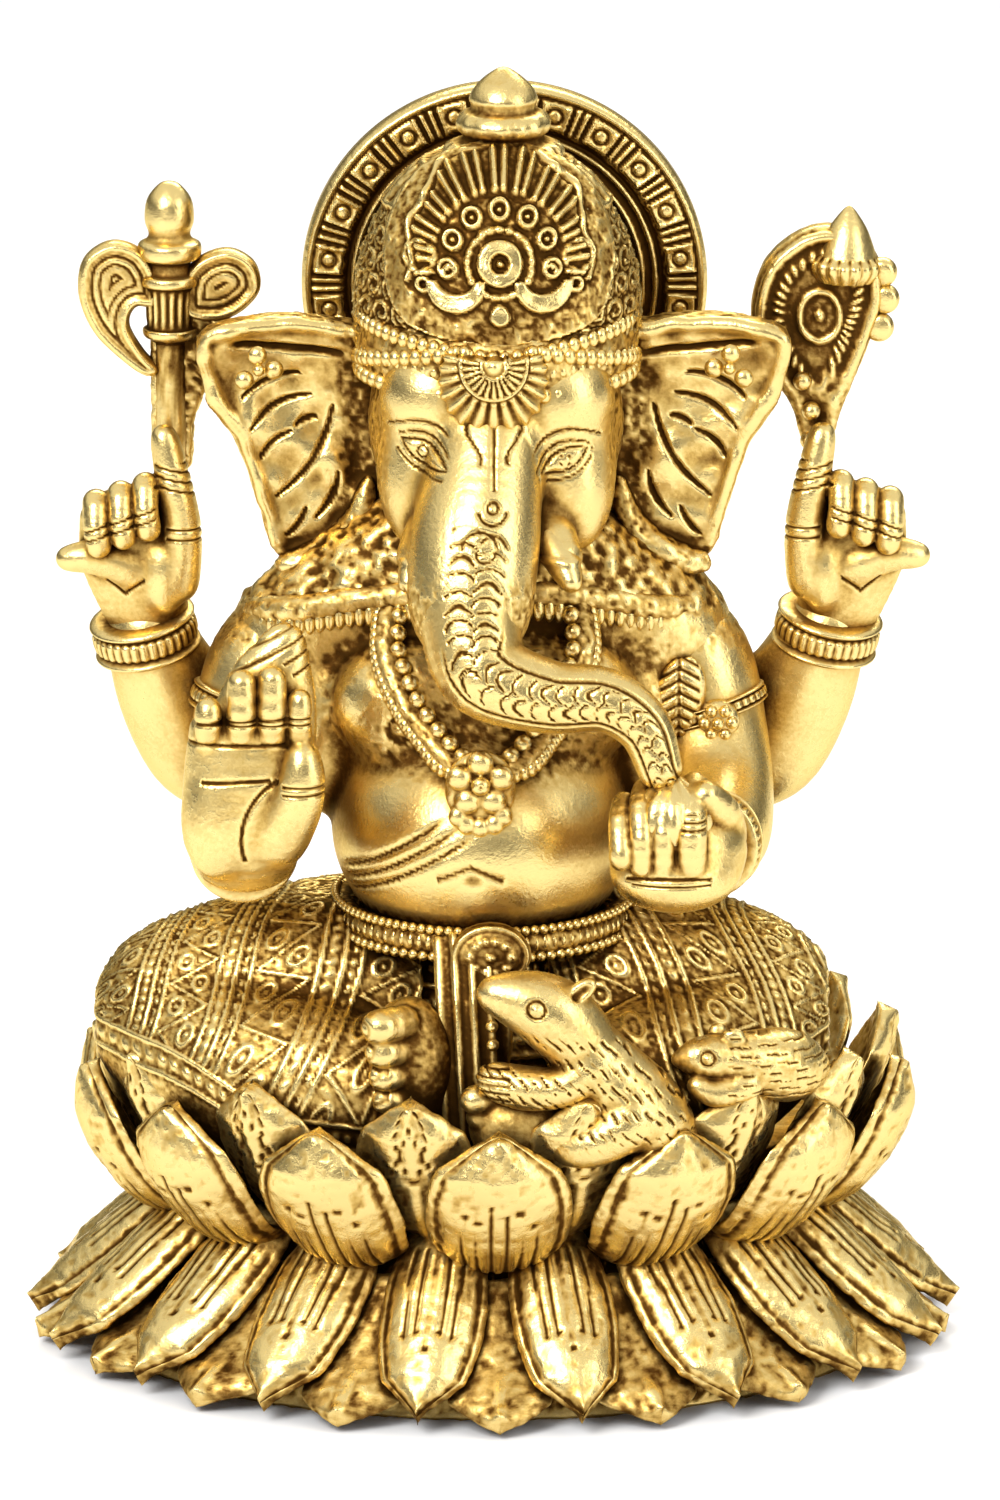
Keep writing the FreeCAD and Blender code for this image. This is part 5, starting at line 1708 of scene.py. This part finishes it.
def make_small_mouse():
    """A smaller mouse beside the left knee."""
    clay = clay_round("small_mouse", 3, 0.33)
    clay.add(tube(SMALL_MOUSE_BODY, (0, 1, 0)))
    ears = [oval((35.8, -38.6, 57.2), (1.9, 1.0, 1.7), 20), oval((33.4, -35.8, 57.4), (1.4, 0.9, 1.5))]
    clay.add(ears, 0.5)
    clay.add(tube([(38, -38.6, 50, 2.4), (33, -40, 49, 1.9), (30, -40.2, 50.4, 1.3)], (0, 1, 0)), 0.8)
    skin = clay.skin()
    x, y, z = skin.points.T
    eye_far = np.hypot(x - 31.8, z - 54.8)
    eye = (ridge(eye_far, 0.7) - 0.8 * ridge(eye_far - 1.1, 0.4)) * (y < -38.6)
    row = np.floor(z / 1.4)
    tick = ridge(every(z, 1.4), 0.34) * step_up(0.1, 0.5, np.sin(1.5 * x + 2.3 * row)) * (x > 35)
    skin.chase(0.4 * eye - 0.25 * tick, -0.3 * tick - 0.3 * np.maximum(-eye, 0))
    publish("small_mouse", skin.stipple(0.06, 0.8, 61, 0.6))


def make_fixing():
    """The screw and washer keep their CAD shape and take a plated finish."""
    for name in ("fixing_washer", "fixing_screw"):
        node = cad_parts[name]
        node.data.materials.clear()
        node.data.materials.append(STEEL)
        attribute = node.data.attributes.new("wear", "FLOAT", "POINT")
        attribute.data.foreach_set("value", np.full(len(node.data.vertices), 0.7, np.float32))


# ---------------------------------------------------------------- floor, light, camera
def make_floor():
    """A pale matt floor, just under the pedestal."""
    bpy.ops.mesh.primitive_circle_add(vertices=96, radius=6.0, fill_type="NGON", location=(0, 0, -0.0002))
    floor = bpy.context.object
    floor.name = "floor"
    material = bpy.data.materials.new("pale_floor")
    material.use_nodes = True
    shader = material.node_tree.nodes["Principled BSDF"]
    shader.inputs["Base Color"].default_value = (0.93, 0.93, 0.93, 1)
    shader.inputs["Roughness"].default_value = 0.9
    floor.data.materials.append(material)
    floor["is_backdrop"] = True


def softbox(name, place, aim, size, power):
    """A white rectangular area light, turned towards aim."""
    light = bpy.data.lights.new(name, "AREA")
    light.shape = "RECTANGLE"
    light.size, light.size_y = size
    light.energy = power
    lamp = bpy.data.objects.new(name, light)
    lamp.location = place
    lamp.rotation_euler = (Vector(aim) - Vector(place)).to_track_quat("-Z", "Y").to_euler()
    bpy.context.collection.objects.link(lamp)


def make_light():
    """A bright ceiling that falls off to a dim horizon, a key softbox, a fill and a rim light."""
    world = bpy.data.worlds.new("studio")
    bpy.context.scene.world = world
    world.use_nodes = True
    tree = world.node_tree
    place = tree.nodes.new("ShaderNodeTexCoord")
    split = tree.nodes.new("ShaderNodeSeparateXYZ")
    ramp = tree.nodes.new("ShaderNodeValToRGB")
    for element, (position, level) in zip(ramp.color_ramp.elements, ((0.0, 0.10), (1.0, 1.0))):
        element.position = position
        element.color = (level, level, level, 1)
    middle = ramp.color_ramp.elements.new(0.28)
    middle.color = (0.22, 0.22, 0.22, 1)
    bright = ramp.color_ramp.elements.new(0.55)
    bright.color = (1.0, 1.0, 1.0, 1)
    tree.links.new(place.outputs["Generated"], split.inputs[0])
    tree.links.new(split.outputs["Z"], ramp.inputs["Fac"])
    tree.links.new(ramp.outputs["Color"], tree.nodes["Background"].inputs["Color"])
    tree.nodes["Background"].inputs["Strength"].default_value = 1.0
    aim = (0, 0, 0.1)
    softbox("key", (-0.45, -0.75, 0.75), aim, (0.5, 0.5), 10)
    softbox("fill", (0.8, -0.6, 0.45), aim, (0.5, 0.8), 4)
    softbox("rim", (0.15, 0.7, 0.8), aim, (0.8, 0.3), 5)


CAMERA_ELEVATION, CAMERA_YAW = 15, 1.0   # degrees
CAMERA_DISTANCE = 1.55
CAMERA_LENS = 241


def make_camera():
    """From the front, a little above, at the distance of a table-top product view."""
    low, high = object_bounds()
    centre = (Vector(low) + Vector(high)) / 2
    elevation, yaw = math.radians(CAMERA_ELEVATION), math.radians(CAMERA_YAW)
    level = math.cos(elevation)
    away = Vector((math.sin(-yaw) * level, -math.cos(-yaw) * level, math.sin(elevation)))
    target = centre + Vector((0.001, 0, -0.0075))
    data = bpy.data.cameras.new("camera")
    data.sensor_fit = "VERTICAL"
    data.sensor_height = 36
    data.lens = CAMERA_LENS
    camera = bpy.data.objects.new("camera", data)
    camera.location = target + away * CAMERA_DISTANCE
    camera.rotation_euler = (-away).to_track_quat("-Z", "Y").to_euler()
    bpy.context.collection.objects.link(camera)
    bpy.context.scene.camera = camera
    bpy.context.scene.view_settings.view_transform = "Standard"


make_pedestal()
make_petals()
make_torso()
make_leg("right_leg", -1, 57.5)
make_leg("left_leg", 1, 47.5)
make_right_foot()
make_left_foot()
make_belt()
make_buckle()
make_apron()
make_necklace()
make_pendant()
make_collar()
make_front_arms()
make_raised_hand()
make_fist()
make_sweet()
make_rear_arms()
make_rear_hands()
make_axe()
make_noose()
make_head()
make_tusks()
make_trunk()
make_ears()
make_halo()
make_crown_cap()
make_crown_crest()
make_crown_band()
make_jewel()
make_finial()
make_mouse()
make_small_mouse()
make_fixing()
make_floor()
make_light()
make_camera()
